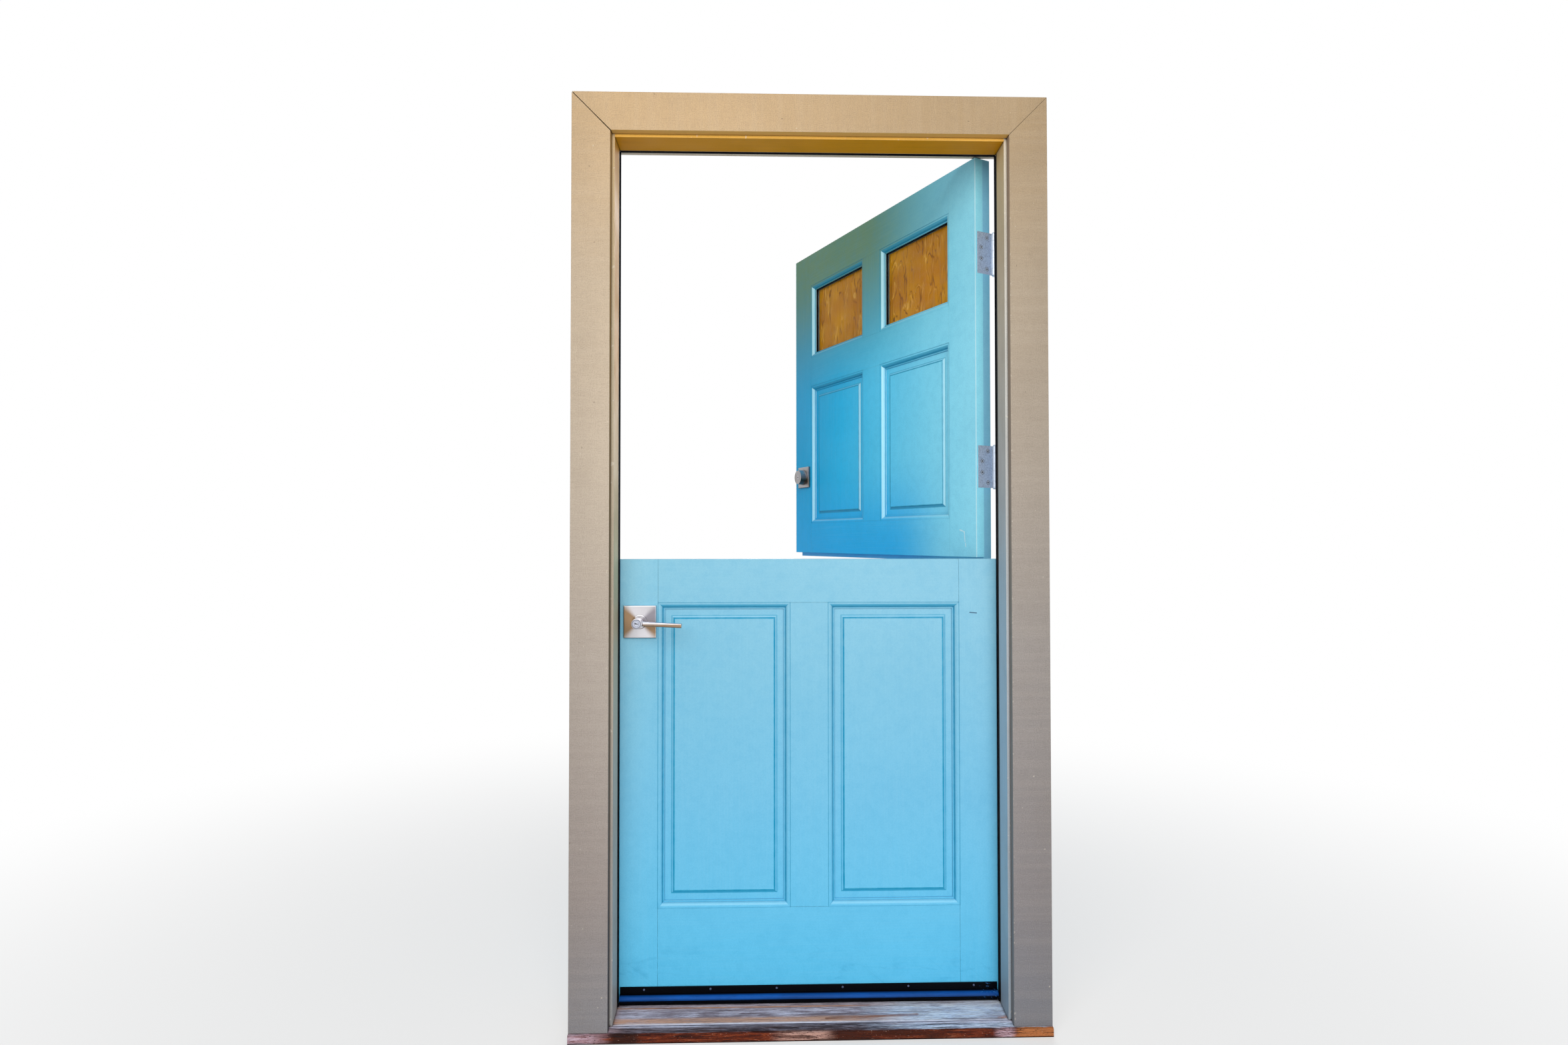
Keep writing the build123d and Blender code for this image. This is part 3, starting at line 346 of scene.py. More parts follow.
def moulding(graph, x, z, openings):
    """Painted shade lines in the corners of the moulding, and how far a point is outside the
    openings.
    """
    across = graph.absolute(x)
    lines, outside = [], []
    for middle_x, half_x, middle_z, half_z in openings:
        off_x = graph.absolute(graph.minus(across, middle_x))
        off_z = graph.absolute(graph.minus(z, middle_z))
        past_x = graph.minus(off_x, half_x)
        past_z = graph.minus(off_z, half_z)
        past = graph.math("MAXIMUM", past_x, past_z)
        outside.append(past)
        # The sticking along the foot of an opening faces up into the light and shows no line
        below = graph.minus(middle_z, z)
        at_foot = graph.rise(below, half_z - foot_start, half_z - foot_end)
        foot = graph.every(at_foot, graph.rise(graph.minus(past_z, past_x), -0.001, 0.001))
        for inset, half, strength in moulding_lines:
            line = graph.near(past, -inset, half, line_softness, strength)
            lines.append(graph.every(line, graph.math("MULTIPLY_ADD", foot, -0.75, 1.0)))
    return graph.either(*lines), graph.fold("MINIMUM", outside)


def lower_blue(graph, x, y, z):
    """Blue of the lower leaf, paler and warmer to the top as painted light."""
    level = graph.rise(z, lower_low.z - 0.2, lower_high.z + 0.2)
    base = graph.ramp(
        level,
        (0.05, 88, 190, 232),
        (0.2, 99, 187, 225),
        (0.45, 111, 184, 217),
        (0.75, 121, 183, 209),
        (0.95, 130, 186, 208),
    )
    # Painted light: the stiles paler, to offset the shade that the frame casts on them
    stile = graph.rise(graph.absolute(x), 0.34, 0.42)
    return graph.mix(stile, base, graph.vector("MULTIPLY", base, (1.16, 1.1, 1.08)))


def upper_blue(graph, x, y, z):
    """Blue of the upper leaf, with painted shade: the outside deeper to the lock side, where it
    stands in the room.
    """
    across = graph.math("DIVIDE", graph.math("ADD", x, leaf_edge), 2 * leaf_edge, clamp=True)
    base = graph.ramp(
        across,
        (0.0, 0, 170, 226),
        (0.3, 12, 190, 244),
        (0.55, 84, 208, 250),
        (0.8, 130, 224, 253),
        (1.0, 150, 230, 253),
    )
    # Painted shade at the foot toward the lock side, and a painted warm light at the top toward the
    # lock side
    foot = graph.every(graph.fall(z, 1.06, 1.35), graph.fall(across, 0.6, 0.9, 0.9))
    top = graph.every(graph.rise(z, 1.5, 1.98), graph.ease(across, 0.45, 1.0, 0.95, 0.1))
    base = graph.coat(base, (foot, 0, 180, 248), (top, 98, 132, 86))
    inside = graph.rise(y, leaf_middle, leaf_middle + 0.002)
    return graph.mix(inside, base, rgb(130, 198, 230))


# Marks on the hinge stiles, as (start, end, width) in X and Z
knock = ((0.378, 0.931), (0.394, 0.9295), 0.0016)
bent_scratch = (
    ((0.392, 1.126), (0.409, 1.121), 0.0024),
    ((0.409, 1.121), (0.411, 1.097), 0.0018),
    ((0.413, 1.093), (0.414, 1.085), 0.0018),
)


def knocked(graph, at, base):
    """Rubbed, dusty paint at the foot of the lower leaf, and a dark knock on the hinge stile."""
    x, y, z = graph.split(at)
    foot = graph.fall(z, lower_low.z + 0.01, lower_low.z + 0.2)
    rub = graph.noise(at, (10.0, 10.0, 26.0), detail=6.0, roughness=0.7, distortion=0.8)
    scratch = graph.noise(graph.moved(at, "z", x, 0.8), (10.0, 40.0, 300.0))
    rubbed = graph.every(foot, graph.rise(rub, 0.54, 0.72, 0.4))
    scored = graph.every(foot, graph.rise(scratch, 0.66, 0.74, 0.35))
    return graph.coat(
        base,
        (rubbed, 44, 140, 190),
        (scored, 60, 150, 196),
        (graph.stroke(x, z, *knock), 10, 52, 92),
    )


def scratched(graph, at, base):
    """A pale bent scratch low on the upper hinge stile."""
    x, y, z = graph.split(at)
    strokes = [graph.stroke(x, z, *mark) for mark in bent_scratch]
    broken = graph.ease(graph.noise(at, 160.0), 0.35, 0.55, 0.2, 0.9)
    outside = graph.fall(y, leaf_middle, leaf_middle + 0.002)
    pale = graph.every(graph.either(*strokes), broken, outside)
    return graph.mix(pale, base, rgb(215, 240, 248))


def leaf_paint(name, along, shut=False, seam_x=None, seam_z=(), seam=0.6, marks=None):
    """Satin blue paint on a member, with hairline joints where it meets its neighbours, and painted
    light and shade on its edges and mouldings.
    """
    graph, at, x, y, z = begin(name, shut)
    across = graph.absolute(x)
    base = (upper_blue if shut else lower_blue)(graph, x, y, z)
    lines, outside = moulding(graph, x, z, upper_openings if shut else lower_openings)
    # Strength of the painted shade along the edges of the lower leaf, beside the frame
    glow = 0.0 if shut else 0.5
    cloud = graph.noise(at, 5.0, detail=4.0)
    mottle = graph.noise(at, 45.0, detail=4.0, roughness=0.6)
    brush = graph.noise(at, lengthwise(along, 7.0, 300.0), detail=4.0)
    grain = graph.noise(at, 900.0, detail=2.0)
    base = graph.coat(
        base,
        (graph.rise(cloud, 0.4, 0.75, 0.06), deep_blue),
        (graph.rise(mottle, 0.42, 0.65, 0.07), deep_blue),
        (graph.rise(brush, 0.4, 0.7, 0.025), 190, 228, 242),
        (graph.flecks(at, 260.0, 0.42, 0.62, 0.06), deep_blue),
        (graph.rise(grain, 0.42, 0.6, 0.05), dark_blue),
        # Painted shade along the leaf's edges, beside the frame
        (graph.rise(across, leaf_edge - 0.012, leaf_edge, glow), 30, 184, 242),
        (graph.rise(across, leaf_edge - 0.005, leaf_edge, glow), 0, 140, 208),
    )
    broken = graph.ease(graph.noise(at, 70.0, detail=2.0), 0.3, 0.52, 0.35, 1.0)
    seams = [graph.near(z, level, seam_half, seam_soft) for level in seam_z]
    if seam_x is not None:
        seams.append(graph.near(across, seam_x, seam_half, seam_soft))
    joint = graph.every(graph.either(*seams), broken, seam) if seams else 0.0
    # Painted highlight along the front arris of the leaf's edge
    edge_x = graph.near(across, leaf_edge - 0.0008, 0.0007, 0.0005)
    arris_highlight = graph.every(edge_x, graph.near(y, leaf_front + 0.0006, 0.0008, 0.0008, 0.8))
    # Slopes of the moulding: painted shade on those that face down, painted highlight on those that
    # face up and, on the open leaf, on those that face the doorway
    moulded = graph.rise(outside, -0.0392, -0.0386)
    within = graph.every(moulded, graph.fall(outside, -0.001, 0.0))
    down = graph.every(within, graph.rise(graph.facing((0, 0, -1)), 0.12, 0.35, 0.7))
    up = graph.every(within, graph.rise(graph.facing((0, 0, 1)), 0.2, 0.6, 0.35))
    side = graph.rise(graph.facing(leaf_direction), 0.12, 0.4) if shut else 0.0
    lit = graph.every(within, side, 0.8)
    base = graph.coat(base, (down, shade_line_blue), (up, 172, 228, 248), (lit, 190, 240, 252))
    lines = graph.every(lines, graph.math("MULTIPLY_ADD", lit, -0.8, 1.0))
    depth = graph.vary(mottle, 0.75, 1.0)
    base = graph.coat(
        base,
        # Painted shade in the corners
        (graph.corner_shade(0.006, 0.3), deep_blue),
        (graph.every(lines, depth), shade_line_blue),
        (joint, dark_blue),
        (arris_highlight, 196, 236, 248),
    )
    if marks:
        base = marks(graph, at, base)
    heights = [(brush, 0.00005), (graph.noise(at, 330.0, detail=2.0), 0.00004)]
    if seams:
        heights.append((graph.opposite(joint), 0.0003))
    return graph.finish(base, graph.vary(cloud, 0.36, 0.46), *heights, edge=0.0012, gloss=0.2)


dress(leaf_paint("lower_stile_blue", "Z", marks=knocked), "lower_lock_stile", "lower_hinge_stile")
dress(leaf_paint("lower_panel_blue", "Z"), "lower_panel_left", "lower_panel_right")
dress(
    leaf_paint("lower_rail_blue", "X", seam_x=stile_edge, marks=knocked),
    "lower_top_rail",
    "lower_bottom_rail",
)
dress(
    leaf_paint("upper_stile_blue", "Z", shut=True, marks=scratched),
    "upper_lock_stile",
    "upper_hinge_stile",
)
dress(leaf_paint("upper_panel_blue", "Z", shut=True), "upper_panel_left", "upper_panel_right")
dress(
    leaf_paint("upper_rail_blue", "X", shut=True, seam_x=stile_edge, seam=0.2),
    "upper_top_rail",
    "upper_middle_rail",
    "upper_bottom_rail",
)
for member, shut, seam in (
    ("lower_mullion", False, 0.6),
    ("upper_lite_mullion", True, 0.25),
    ("upper_panel_mullion", True, 0.25),
):
    ends = [corner.z for corner in box_of(member, shut)]
    dress(leaf_paint(member + "_blue", "Z", shut=shut, seam_z=ends, seam=seam), member)
dress(leaf_paint("glazing_bead_blue", "X", shut=True), "glazing_beads")


# Paint on the frame


def mitre_line(graph, x, z):
    """Open joint at the mitred corners, widest at the inner corner on the left."""
    inner = Vector((casing_low.x, casing_high.z - (casing_high.x - casing_low.x)))
    outer = Vector((casing_high.x, casing_high.z))
    away, along = graph.from_line(graph.absolute(x), z, inner, outer)
    left = graph.fall(x, -0.01, 0.01)
    narrow = graph.ease(along, 0.0, 0.75, 1.0, 0.25)
    width = graph.math("MULTIPLY", narrow, graph.ease(left, 0.0, 1.0, 0.0006, 0.0018))
    return graph.math("SUBTRACT", 1.0, graph.math("DIVIDE", away, width), clamp=True)


def board_paint(name, along):
    """Tan paint on a rough-sawn casing board: saw marks run across the board; painted light and
    shade lie over it.
    """
    graph, at, x, y, z = begin(name)
    from_middle = graph.absolute(x)
    level = graph.math("DIVIDE", z, casing_high.z, clamp=True)
    # Painted light: warm and bright toward the top, grey and darker toward the foot
    base = graph.ramp(
        level,
        (0.0, 127, 126, 131),
        (0.15, 146, 136, 132),
        (0.4, 168, 157, 147),
        (0.6, 184, 169, 151),
        (0.8, 188, 169, 145),
        (0.97, 190, 161, 123),
    )
    # Painted shade, darker to the right, cool low down and warm high up
    shade = graph.rise(x, -0.3, 0.5, 0.36)
    outer = graph.rise(from_middle, casing_low.x, casing_high.x, 0.12)
    shade_colour = graph.mix(graph.rise(z, 0.7, 2.0), rgb(82, 92, 108), rgb(100, 90, 72))
    base = graph.coat(base, (shade, shade_colour), (outer, 96, 86, 76))
    saw = graph.noise(at, lengthwise(along, 620.0, 48.0), roughness=0.6, distortion=0.1)
    weave = graph.noise(at, lengthwise(along, 30.0, 420.0), detail=2.0)
    band = graph.noise(at, lengthwise(along, 60.0, 2.0))
    patch = graph.noise(at, 7.0, detail=5.0, roughness=0.6)
    bits = graph.noise(at, 420.0)
    tick_way = (70.0, 70.0, 160.0) if along == "X" else (160.0, 160.0, 70.0)
    ticks = graph.flecks(at, tick_way, 0.775, 0.8, 0.5, detail=1.0)
    chips = graph.flecks(at, 120.0, 0.8, 0.82, 0.45, detail=1.0)
    inner_edge = graph.near(from_middle, casing_low.x + 0.0015, 0.001, 0.0015)
    broken = graph.flecks(at, 150.0, 0.6, 0.68, 0.32)
    specks = graph.every(inner_edge, broken, graph.ease(x, 0.0, 0.1, 0.25, 1.0))
    # Painted shade on the side faces of the casing at the opening, warmer toward the top and greyer
    # on the right
    side = graph.every(
        graph.rise(graph.absolute(graph.facing((1, 0, 0))), 0.6, 0.9),
        graph.fall(from_middle, casing_low.x + 0.004, casing_low.x + 0.006),
    )
    # Painted warm light on the underside of the head casing
    downward = graph.rise(graph.facing((0, 0, -1)), 0.6, 0.9)
    under = graph.every(downward, graph.near(x, 0.0, 0.46, 0.01))
    side_shade = graph.ramp(level, (0.1, 74, 68, 68), (0.5, 112, 92, 64), (0.9, 150, 112, 54))
    edge_shade = graph.mix(graph.rise(x, 0.0, 0.1, 0.45), side_shade, rgb(158, 156, 156))
    base = graph.coat(
        base,
        (graph.rise(saw, 0.42, 0.62, 0.09), 92, 82, 74),
        (graph.rise(weave, 0.45, 0.65, 0.05), 92, 82, 74),
        (graph.rise(band, 0.4, 0.65, 0.04), 212, 200, 184),
        (graph.rise(patch, 0.45, 0.75, 0.09), 132, 120, 108),
        (graph.rise(bits, 0.5, 0.62, 0.15), 76, 68, 62),
        (graph.rise(bits, 0.42, 0.34, 0.07), 220, 212, 200),
        (ticks, 70, 58, 48),
        (chips, 206, 196, 178),
        (specks, 216, 206, 188),
        (side, edge_shade),
        (under, 204, 158, 84),
        # Painted shade in the corners
        (graph.corner_shade(0.005, 0.8), 44, 32, 22),
        (mitre_line(graph, x, z), 22, 14, 10),
    )
    heights = ((saw, 0.00022), (weave, 0.00012), (band, 0.0001), (bits, 0.0002))
    return graph.finish(base, graph.vary(patch, 0.55, 0.7), *heights, edge=0.0009, gloss=0.2)


dress(board_paint("casing_upright_paint", "Z"), "casing_left", "casing_right")
dress(board_paint("casing_head_paint", "X"), "casing_head")


def jamb_paint(name, along, stop, edge, hollow, shadow=1.0):
    """Smooth paint of a jamb: one tone on the stop, one on the front edge, both with painted light
    in them, pale in the rabbet, a painted shadow in the gap behind the stop.
    """
    graph, at, x, y, z = begin(name)
    level = graph.math("DIVIDE", z, casing_high.z, clamp=True)
    front = graph.fall(y, jamb_low.y + 0.001, jamb_low.y + 0.0016)
    base = graph.mix(front, graph.ramp(level, *stop), graph.ramp(level, *edge))
    inside = graph.rise(y, stop_back + 0.006, stop_back + 0.008)
    # Painted shadow in the gap behind the stop, by the seal
    gap_shadow = graph.near(y, stop_back + 0.0035, 0.004, 0.0004, shadow)
    wall_x = graph.rise(graph.absolute(x), jamb_high.x - 0.0015, jamb_high.x - 0.0008)
    wall_z = graph.rise(z, jamb_high.z - 0.0015, jamb_high.z - 0.0008)
    wall_side = graph.either(wall_x, wall_z)
    base = graph.coat(base, (inside, 206, 190, 170), (gap_shadow, 24, 16, 12), (wall_side, 196, 180, 158))
    brush = graph.noise(at, lengthwise(along, 6.0, 300.0), detail=4.0)
    patch = graph.noise(at, 9.0, detail=4.0)
    grain = graph.noise(at, 700.0, detail=2.0)
    chip = graph.every(front, graph.flecks(at, 90.0, 0.72, 0.76, 0.35, detail=1.0))
    base = graph.coat(
        base,
        (graph.rise(brush, 0.4, 0.7, 0.12), hollow),
        (graph.rise(patch, 0.5, 0.8, 0.14), hollow),
        (graph.rise(grain, 0.45, 0.62, 0.1), hollow),
        (chip, 236, 228, 214),
        # Painted shade in the corners
        (graph.corner_shade(0.006, 0.85), 40, 28, 14),
    )
    rough = graph.vary(patch, 0.45, 0.58)
    return graph.finish(base, rough, (brush, 0.00012), (patch, 0.0001), edge=0.0012, gloss=0.12)


# Tones up the jambs, as (share of the height, red, green, blue), with painted light in them: warm
# toward the top, grey toward the foot, and on the hinge side a painted blue reflection of the leaf
left_stop = (
    (0.05, 176, 166, 160),
    (0.3, 186, 178, 164),
    (0.5, 192, 182, 148),
    (0.72, 204, 138, 38),
    (0.95, 190, 134, 36),
)
right_stop = (
    (0.02, 150, 162, 172),
    (0.12, 168, 184, 194),
    (0.3, 174, 192, 206),
    (0.5, 178, 190, 200),
    (0.75, 202, 188, 170),
    (0.97, 210, 184, 130),
)
left_edge = (
    (0.05, 160, 158, 158), (0.4, 184, 172, 156), (0.75, 200, 184, 156), (0.97, 208, 178, 132)
)
right_edge = (
    (0.05, 158, 168, 178), (0.4, 178, 184, 190), (0.75, 208, 206, 200), (0.97, 216, 204, 184)
)
# The head: painted warm shade on the underside of its stop, painted warm light on its front edge
head_stop = ((0.5, 200, 136, 0), (1.0, 200, 136, 0))
head_edge = ((0.5, 238, 184, 86), (1.0, 238, 184, 86))
dress(jamb_paint("strike_jamb_paint", "Z", left_stop, left_edge, rgb(96, 88, 72)), "strike_jamb")
dress(jamb_paint("hinge_jamb_paint", "Z", right_stop, right_edge, rgb(96, 92, 84)), "hinge_jamb")
head_paint = jamb_paint("head_jamb_paint", "X", head_stop, head_edge, rgb(120, 84, 10), shadow=0.0)
dress(head_paint, "head_jamb")


# Weathered wood of the sill

# Stains on the sill, as (start, end, width) in X and Y
sill_stain = ((0.035, -0.046), (0.24, -0.036), 0.006)
corner_stain = ((0.425, -0.052), (0.45, -0.05), 0.008)


def weathered(graph, at, wander, fine):
    """A grain along X, its fibres, and the place that they are drawn at, moved to and fro."""
    grain_at = graph.moved(at, "y", graph.noise(at, 3.0, detail=2.0), wander)
    grain = graph.noise(grain_at, (20.0, fine, fine), detail=6.0, roughness=0.8)
    fibres = graph.noise(grain_at, (70.0, 1100.0, 1100.0), detail=4.0, roughness=0.7)
    return grain_at, grain, fibres


def streaks(graph, at, stretch, half, soft):
    """Thin dark lines that follow the grain."""
    return graph.near(graph.noise(at, stretch, roughness=0.6), 0.5, half, soft)


def sill_wood():
    """Silvery sloped board, bleached to the right, with rust stains along its front."""
    graph, at, x, y, z = begin("sill_weathered_wood")
    grain_at, grain, fibres = weathered(graph, at, 0.02, 360.0)
    patch = graph.noise(at, (7.0, 34.0, 34.0), detail=6.0, roughness=0.7)
    worn = graph.noise(at, (14.0, 120.0, 120.0), detail=5.0, roughness=0.75)
    lines = streaks(graph, grain_at, (5.0, 190.0, 190.0), 0.006, 0.02)
    lines = graph.every(lines, graph.rise(patch, 0.4, 0.6))
    base = graph.ramp(
        grain,
        (0.32, 104, 90, 98),
        (0.43, 166, 156, 170),
        (0.52, 206, 200, 218),
        (0.61, 230, 226, 242),
        (0.72, 246, 244, 252),
    )
    pale = graph.ramp(
        grain,
        (0.32, 146, 158, 186),
        (0.43, 196, 212, 240),
        (0.54, 226, 238, 254),
        (0.7, 246, 250, 255),
    )
    middle = graph.every(graph.near(x, -0.05, 0.24, 0.14), graph.ease(y, -0.012, -0.022, 0.5, 1.0))
    brown = graph.every(graph.rise(patch, 0.38, 0.58), middle, 0.7)
    bleach = graph.rise(graph.ragged(x, patch, 0.3), 0.26, 0.36, 0.95)
    front = graph.fall(graph.ragged(y, worn, 0.012), -0.036, -0.026)
    tan = graph.every(
        front, graph.fall(x, 0.05, 0.28, 0.95), graph.ease(worn, 0.34, 0.52, 0.45, 1.0)
    )
    white = graph.every(graph.fall(y, -0.058, -0.053), graph.ease(worn, 0.3, 0.6, 0.5, 0.9))
    stain = graph.stroke(x, y, *sill_stain)
    corner = graph.stroke(x, y, *corner_stain)
    smudge = graph.every(graph.rise(patch, 0.46, 0.62), graph.rise(x, 0.1, 0.3))
    left_end = graph.fall(graph.ragged(x, worn, 0.05), -0.43, -0.4)
    back = graph.every(
        graph.fall(x, 0.05, 0.2),
        graph.near(y, 0.0, 0.0014, 0.002),
        graph.ease(worn, 0.36, 0.55, 0.15, 0.9),
    )
    check = graph.flecks(grain_at, (7.0, 420.0, 420.0), 0.63, 0.69, 0.7, detail=2.0)
    base = graph.coat(
        base,
        (brown, 104, 84, 88),
        (bleach, pale),
        (tan, 214, 164, 138),
        (white, 238, 232, 242),
        (graph.every(stain, graph.ease(worn, 0.35, 0.6, 0.3, 0.9)), 150, 96, 70),
        (graph.every(left_end, graph.ease(worn, 0.36, 0.56, 0.2, 0.9)), 192, 128, 90),
        (graph.every(corner, graph.ease(worn, 0.42, 0.58, 0.1, 0.9)), 206, 132, 72),
        (graph.every(smudge, 0.5), 138, 126, 144),
        (back, 214, 160, 124),
        (graph.every(lines, 0.55), 70, 56, 66),
        (check, 62, 48, 54),
        (graph.rise(fibres, 0.48, 0.66, 0.45), 96, 82, 90),
        # Painted highlight along the front arris
        (graph.fall(y, sill_low.y + 0.0012, sill_low.y + 0.003, 0.8), 228, 222, 240),
        (graph.fall(y, sill_low.y + 0.0002, sill_low.y + 0.0008, 0.9), 40, 22, 48),
        # Painted shade in the corners
        (graph.corner_shade(0.008, 0.9), 20, 12, 12),
    )
    height = graph.minus(grain, check)
    rough = graph.vary(grain, 0.62, 0.82)
    return graph.finish(base, rough, (height, 0.0006), (fibres, 0.0003), edge=0.001, gloss=0.12)


def nosing_wood():
    """Grey board, bleached to the right, with a rusty worn front, a knot and lilac ends."""
    graph, at, x, y, z = begin("nosing_weathered_wood")
    grain_at, grain, fibres = weathered(graph, at, 0.03, 380.0)
    patch = graph.noise(at, (7.0, 40.0, 40.0), detail=5.0, roughness=0.7)
    stain = graph.noise(at, (11.0, 70.0, 120.0), detail=6.0, roughness=0.78, distortion=0.5)
    speck = graph.noise(at, (150.0, 260.0, 420.0), roughness=0.7)
    lines = streaks(graph, grain_at, (4.0, 170.0, 170.0), 0.008, 0.022)
    top = graph.ramp(
        grain,
        (0.34, 38, 26, 30),
        (0.44, 72, 60, 64),
        (0.53, 102, 92, 100),
        (0.62, 142, 134, 148),
        (0.74, 188, 182, 200),
    )
    pale_top = graph.ramp(
        grain,
        (0.34, 104, 108, 130),
        (0.44, 174, 188, 218),
        (0.56, 220, 232, 252),
        (0.72, 238, 244, 255),
    )
    bleach = graph.rise(graph.ragged(x, patch, 0.25), 0.24, 0.36, 0.95)
    pale_back = graph.every(
        graph.rise(y, -0.071, -0.066), graph.ease(graph.absolute(x), 0.1, 0.3, 0.15, 0.8)
    )
    left = graph.fall(graph.ragged(x, stain, 0.16), -0.42, -0.35, 0.9)
    rust = graph.ramp(
        stain,
        (0.36, 28, 8, 4),
        (0.45, 78, 28, 12),
        (0.54, 110, 44, 20),
        (0.61, 142, 70, 40),
        (0.72, 196, 142, 116),
    )
    lilac = graph.ramp(stain, (0.36, 104, 60, 56), (0.46, 182, 146, 156), (0.6, 216, 196, 214))
    sunk = graph.every(graph.near(x, 0.13, 0.13, 0.1), graph.ease(patch, 0.36, 0.52, 0.2, 0.85))
    rosy = graph.every(graph.near(x, -0.02, 0.03, 0.05), graph.ease(stain, 0.44, 0.52, 0.2, 0.9))
    knot = graph.near(x, -0.412, 0.02, 0.022, 0.92)
    patch_right = graph.near(x, 0.428, 0.01, 0.02, 0.75)
    right = graph.rise(graph.ragged(x, stain, 0.1), 0.49, 0.52, 0.65)
    front = graph.coat(
        rust,
        (sunk, 60, 24, 10),
        (rosy, 200, 156, 142),
        (graph.either(left, patch_right), lilac),
        (knot, 48, 20, 10),
        (right, 204, 130, 78),
        (graph.rise(speck, 0.57, 0.66, 0.8), 26, 12, 10),
        (graph.rise(speck, 0.36, 0.28, 0.5), 230, 196, 180),
    )
    worn_front = graph.ragged(y, stain, 0.014)
    face = graph.fall(worn_front, nosing_low.y + 0.0105, nosing_low.y + 0.015)
    rusty = graph.flecks(at, (9.0, 60.0, 60.0), 0.54, 0.66, 0.35, detail=5.0, roughness=0.7)
    horn = graph.every(graph.fall(x, -0.46, -0.4, 0.7), graph.opposite(face))
    foot = graph.fall(z, nosing_low.z + 0.001, nosing_low.z + 0.004, 0.85)
    check = graph.flecks(grain_at, (6.0, 380.0, 380.0), 0.61, 0.67, 0.85, detail=2.0)
    base = graph.coat(
        top,
        (bleach, pale_top),
        (pale_back, 206, 204, 224),
        (horn, 196, 168, 176),
        (rusty, 112, 70, 58),
        (graph.every(lines, 0.8), 34, 24, 30),
        (face, front),
        (check, 30, 18, 18),
        (graph.rise(fibres, 0.46, 0.66, 0.55), 50, 36, 38),
        (foot, 26, 14, 12),
        # Painted shade in the corners
        (graph.corner_shade(0.005, 0.9), 16, 10, 12),
    )
    height = graph.minus(grain, check)
    rough = graph.vary(grain, 0.6, 0.82)
    return graph.finish(
        base, rough, (height, 0.0009), (speck, 0.0004), (fibres, 0.0003), edge=0.001, gloss=0.12
    )


dress(sill_wood(), "sill")
dress(nosing_wood(), "sill_nosing")


# Rubber


def rubber(name, colour, dusty):
    """Black extruded rubber with a little dust."""
    graph = Graph(name)
    at = graph.place()
    dust = graph.noise(at, 30.0, detail=5.0, roughness=0.7)
    fine = graph.noise(at, 500.0, detail=2.0)
    base = graph.mix(graph.rise(dust, 0.45, 0.8, dusty), colour, rgb(70, 74, 84))
    return graph.finish(base, graph.vary(dust, 0.6, 0.8), (fine, 0.0001), gloss=0.04)


dress(rubber("seal_black", rgb(6, 8, 14), 0.2), "seal_strike_side", "seal_hinge_side", "seal_head")
dress(rubber("sweep_black", rgb(6, 6, 8), 0.15), "sweep_seal")


def glazing_rim():
    """Black seals and spacer of the glazing, with a grey band along the inner pane."""
    graph, at, x, y, z = begin("glazing_rim_black", shut=True)
    dust = graph.noise(at, 60.0, detail=4.0, roughness=0.7)
    band = graph.near(y, glass_low.y - 0.002, 0.0012, 0.0004)
    grey = graph.every(band, graph.ease(dust, 0.3, 0.6, 0.6, 1.0))
    base = graph.mix(graph.rise(dust, 0.5, 0.8, 0.25), rgb(10, 14, 22), rgb(60, 70, 84))
    base = graph.mix(grey, base, rgb(104, 116, 112))
    fine = graph.noise(at, 500.0, detail=2.0)
    return graph.finish(base, graph.vary(dust, 0.5, 0.7), (fine, 0.0001), gloss=0.15)


dress(glazing_rim(), "lite_gaskets")


# Drip rail


def drip_paint():
    """Black drip rail with a glossy rounded nose, and on it a painted reflection of the blue leaf
    above.
    """
    graph, at, x, y, z = begin("drip_gloss_black")
    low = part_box("drip_sweep")[0]
    wave = graph.noise(at, (6.0, 30.0, 30.0), detail=4.0)
    fine = graph.noise(at, (60.0, 400.0, 400.0), roughness=0.7)
    nose = graph.fall(y, low.y + 0.0035, low.y + 0.009)
    up = graph.facing((0.0, -0.55, 0.83))
    # Painted reflection of the blue leaf on the upward face of the nose
    blue_reflection = graph.every(nose, graph.rise(up, 0.6, 0.88), graph.vary(wave, 0.6, 1.0))
    dust = graph.flecks(at, (40.0, 120.0, 120.0), 0.62, 0.78, 0.35, detail=5.0, roughness=0.7)
    scrape = graph.noise(at, (120.0, 300.0, 300.0), roughness=0.6)
    scuff = graph.every(graph.near(x, 0.425, 0.012, 0.03), graph.rise(scrape, 0.6, 0.66, 0.6))
    base = graph.coat(
        rgb(2, 3, 8),
        (blue_reflection, 12, 86, 172),
        (graph.every(nose, graph.rise(fine, 0.5, 0.7, 0.25)), 6, 30, 70),
        (dust, 18, 26, 40),
        (scuff, 70, 130, 196),
    )
    pores = graph.noise(at, (40.0, 200.0, 200.0), detail=2.0)
    return graph.finish(base, graph.vary(wave, 0.3, 0.42), (pores, 0.0001), edge=0.0006, gloss=0.06)


dress(drip_paint(), "drip_sweep")


# Glass of the lites


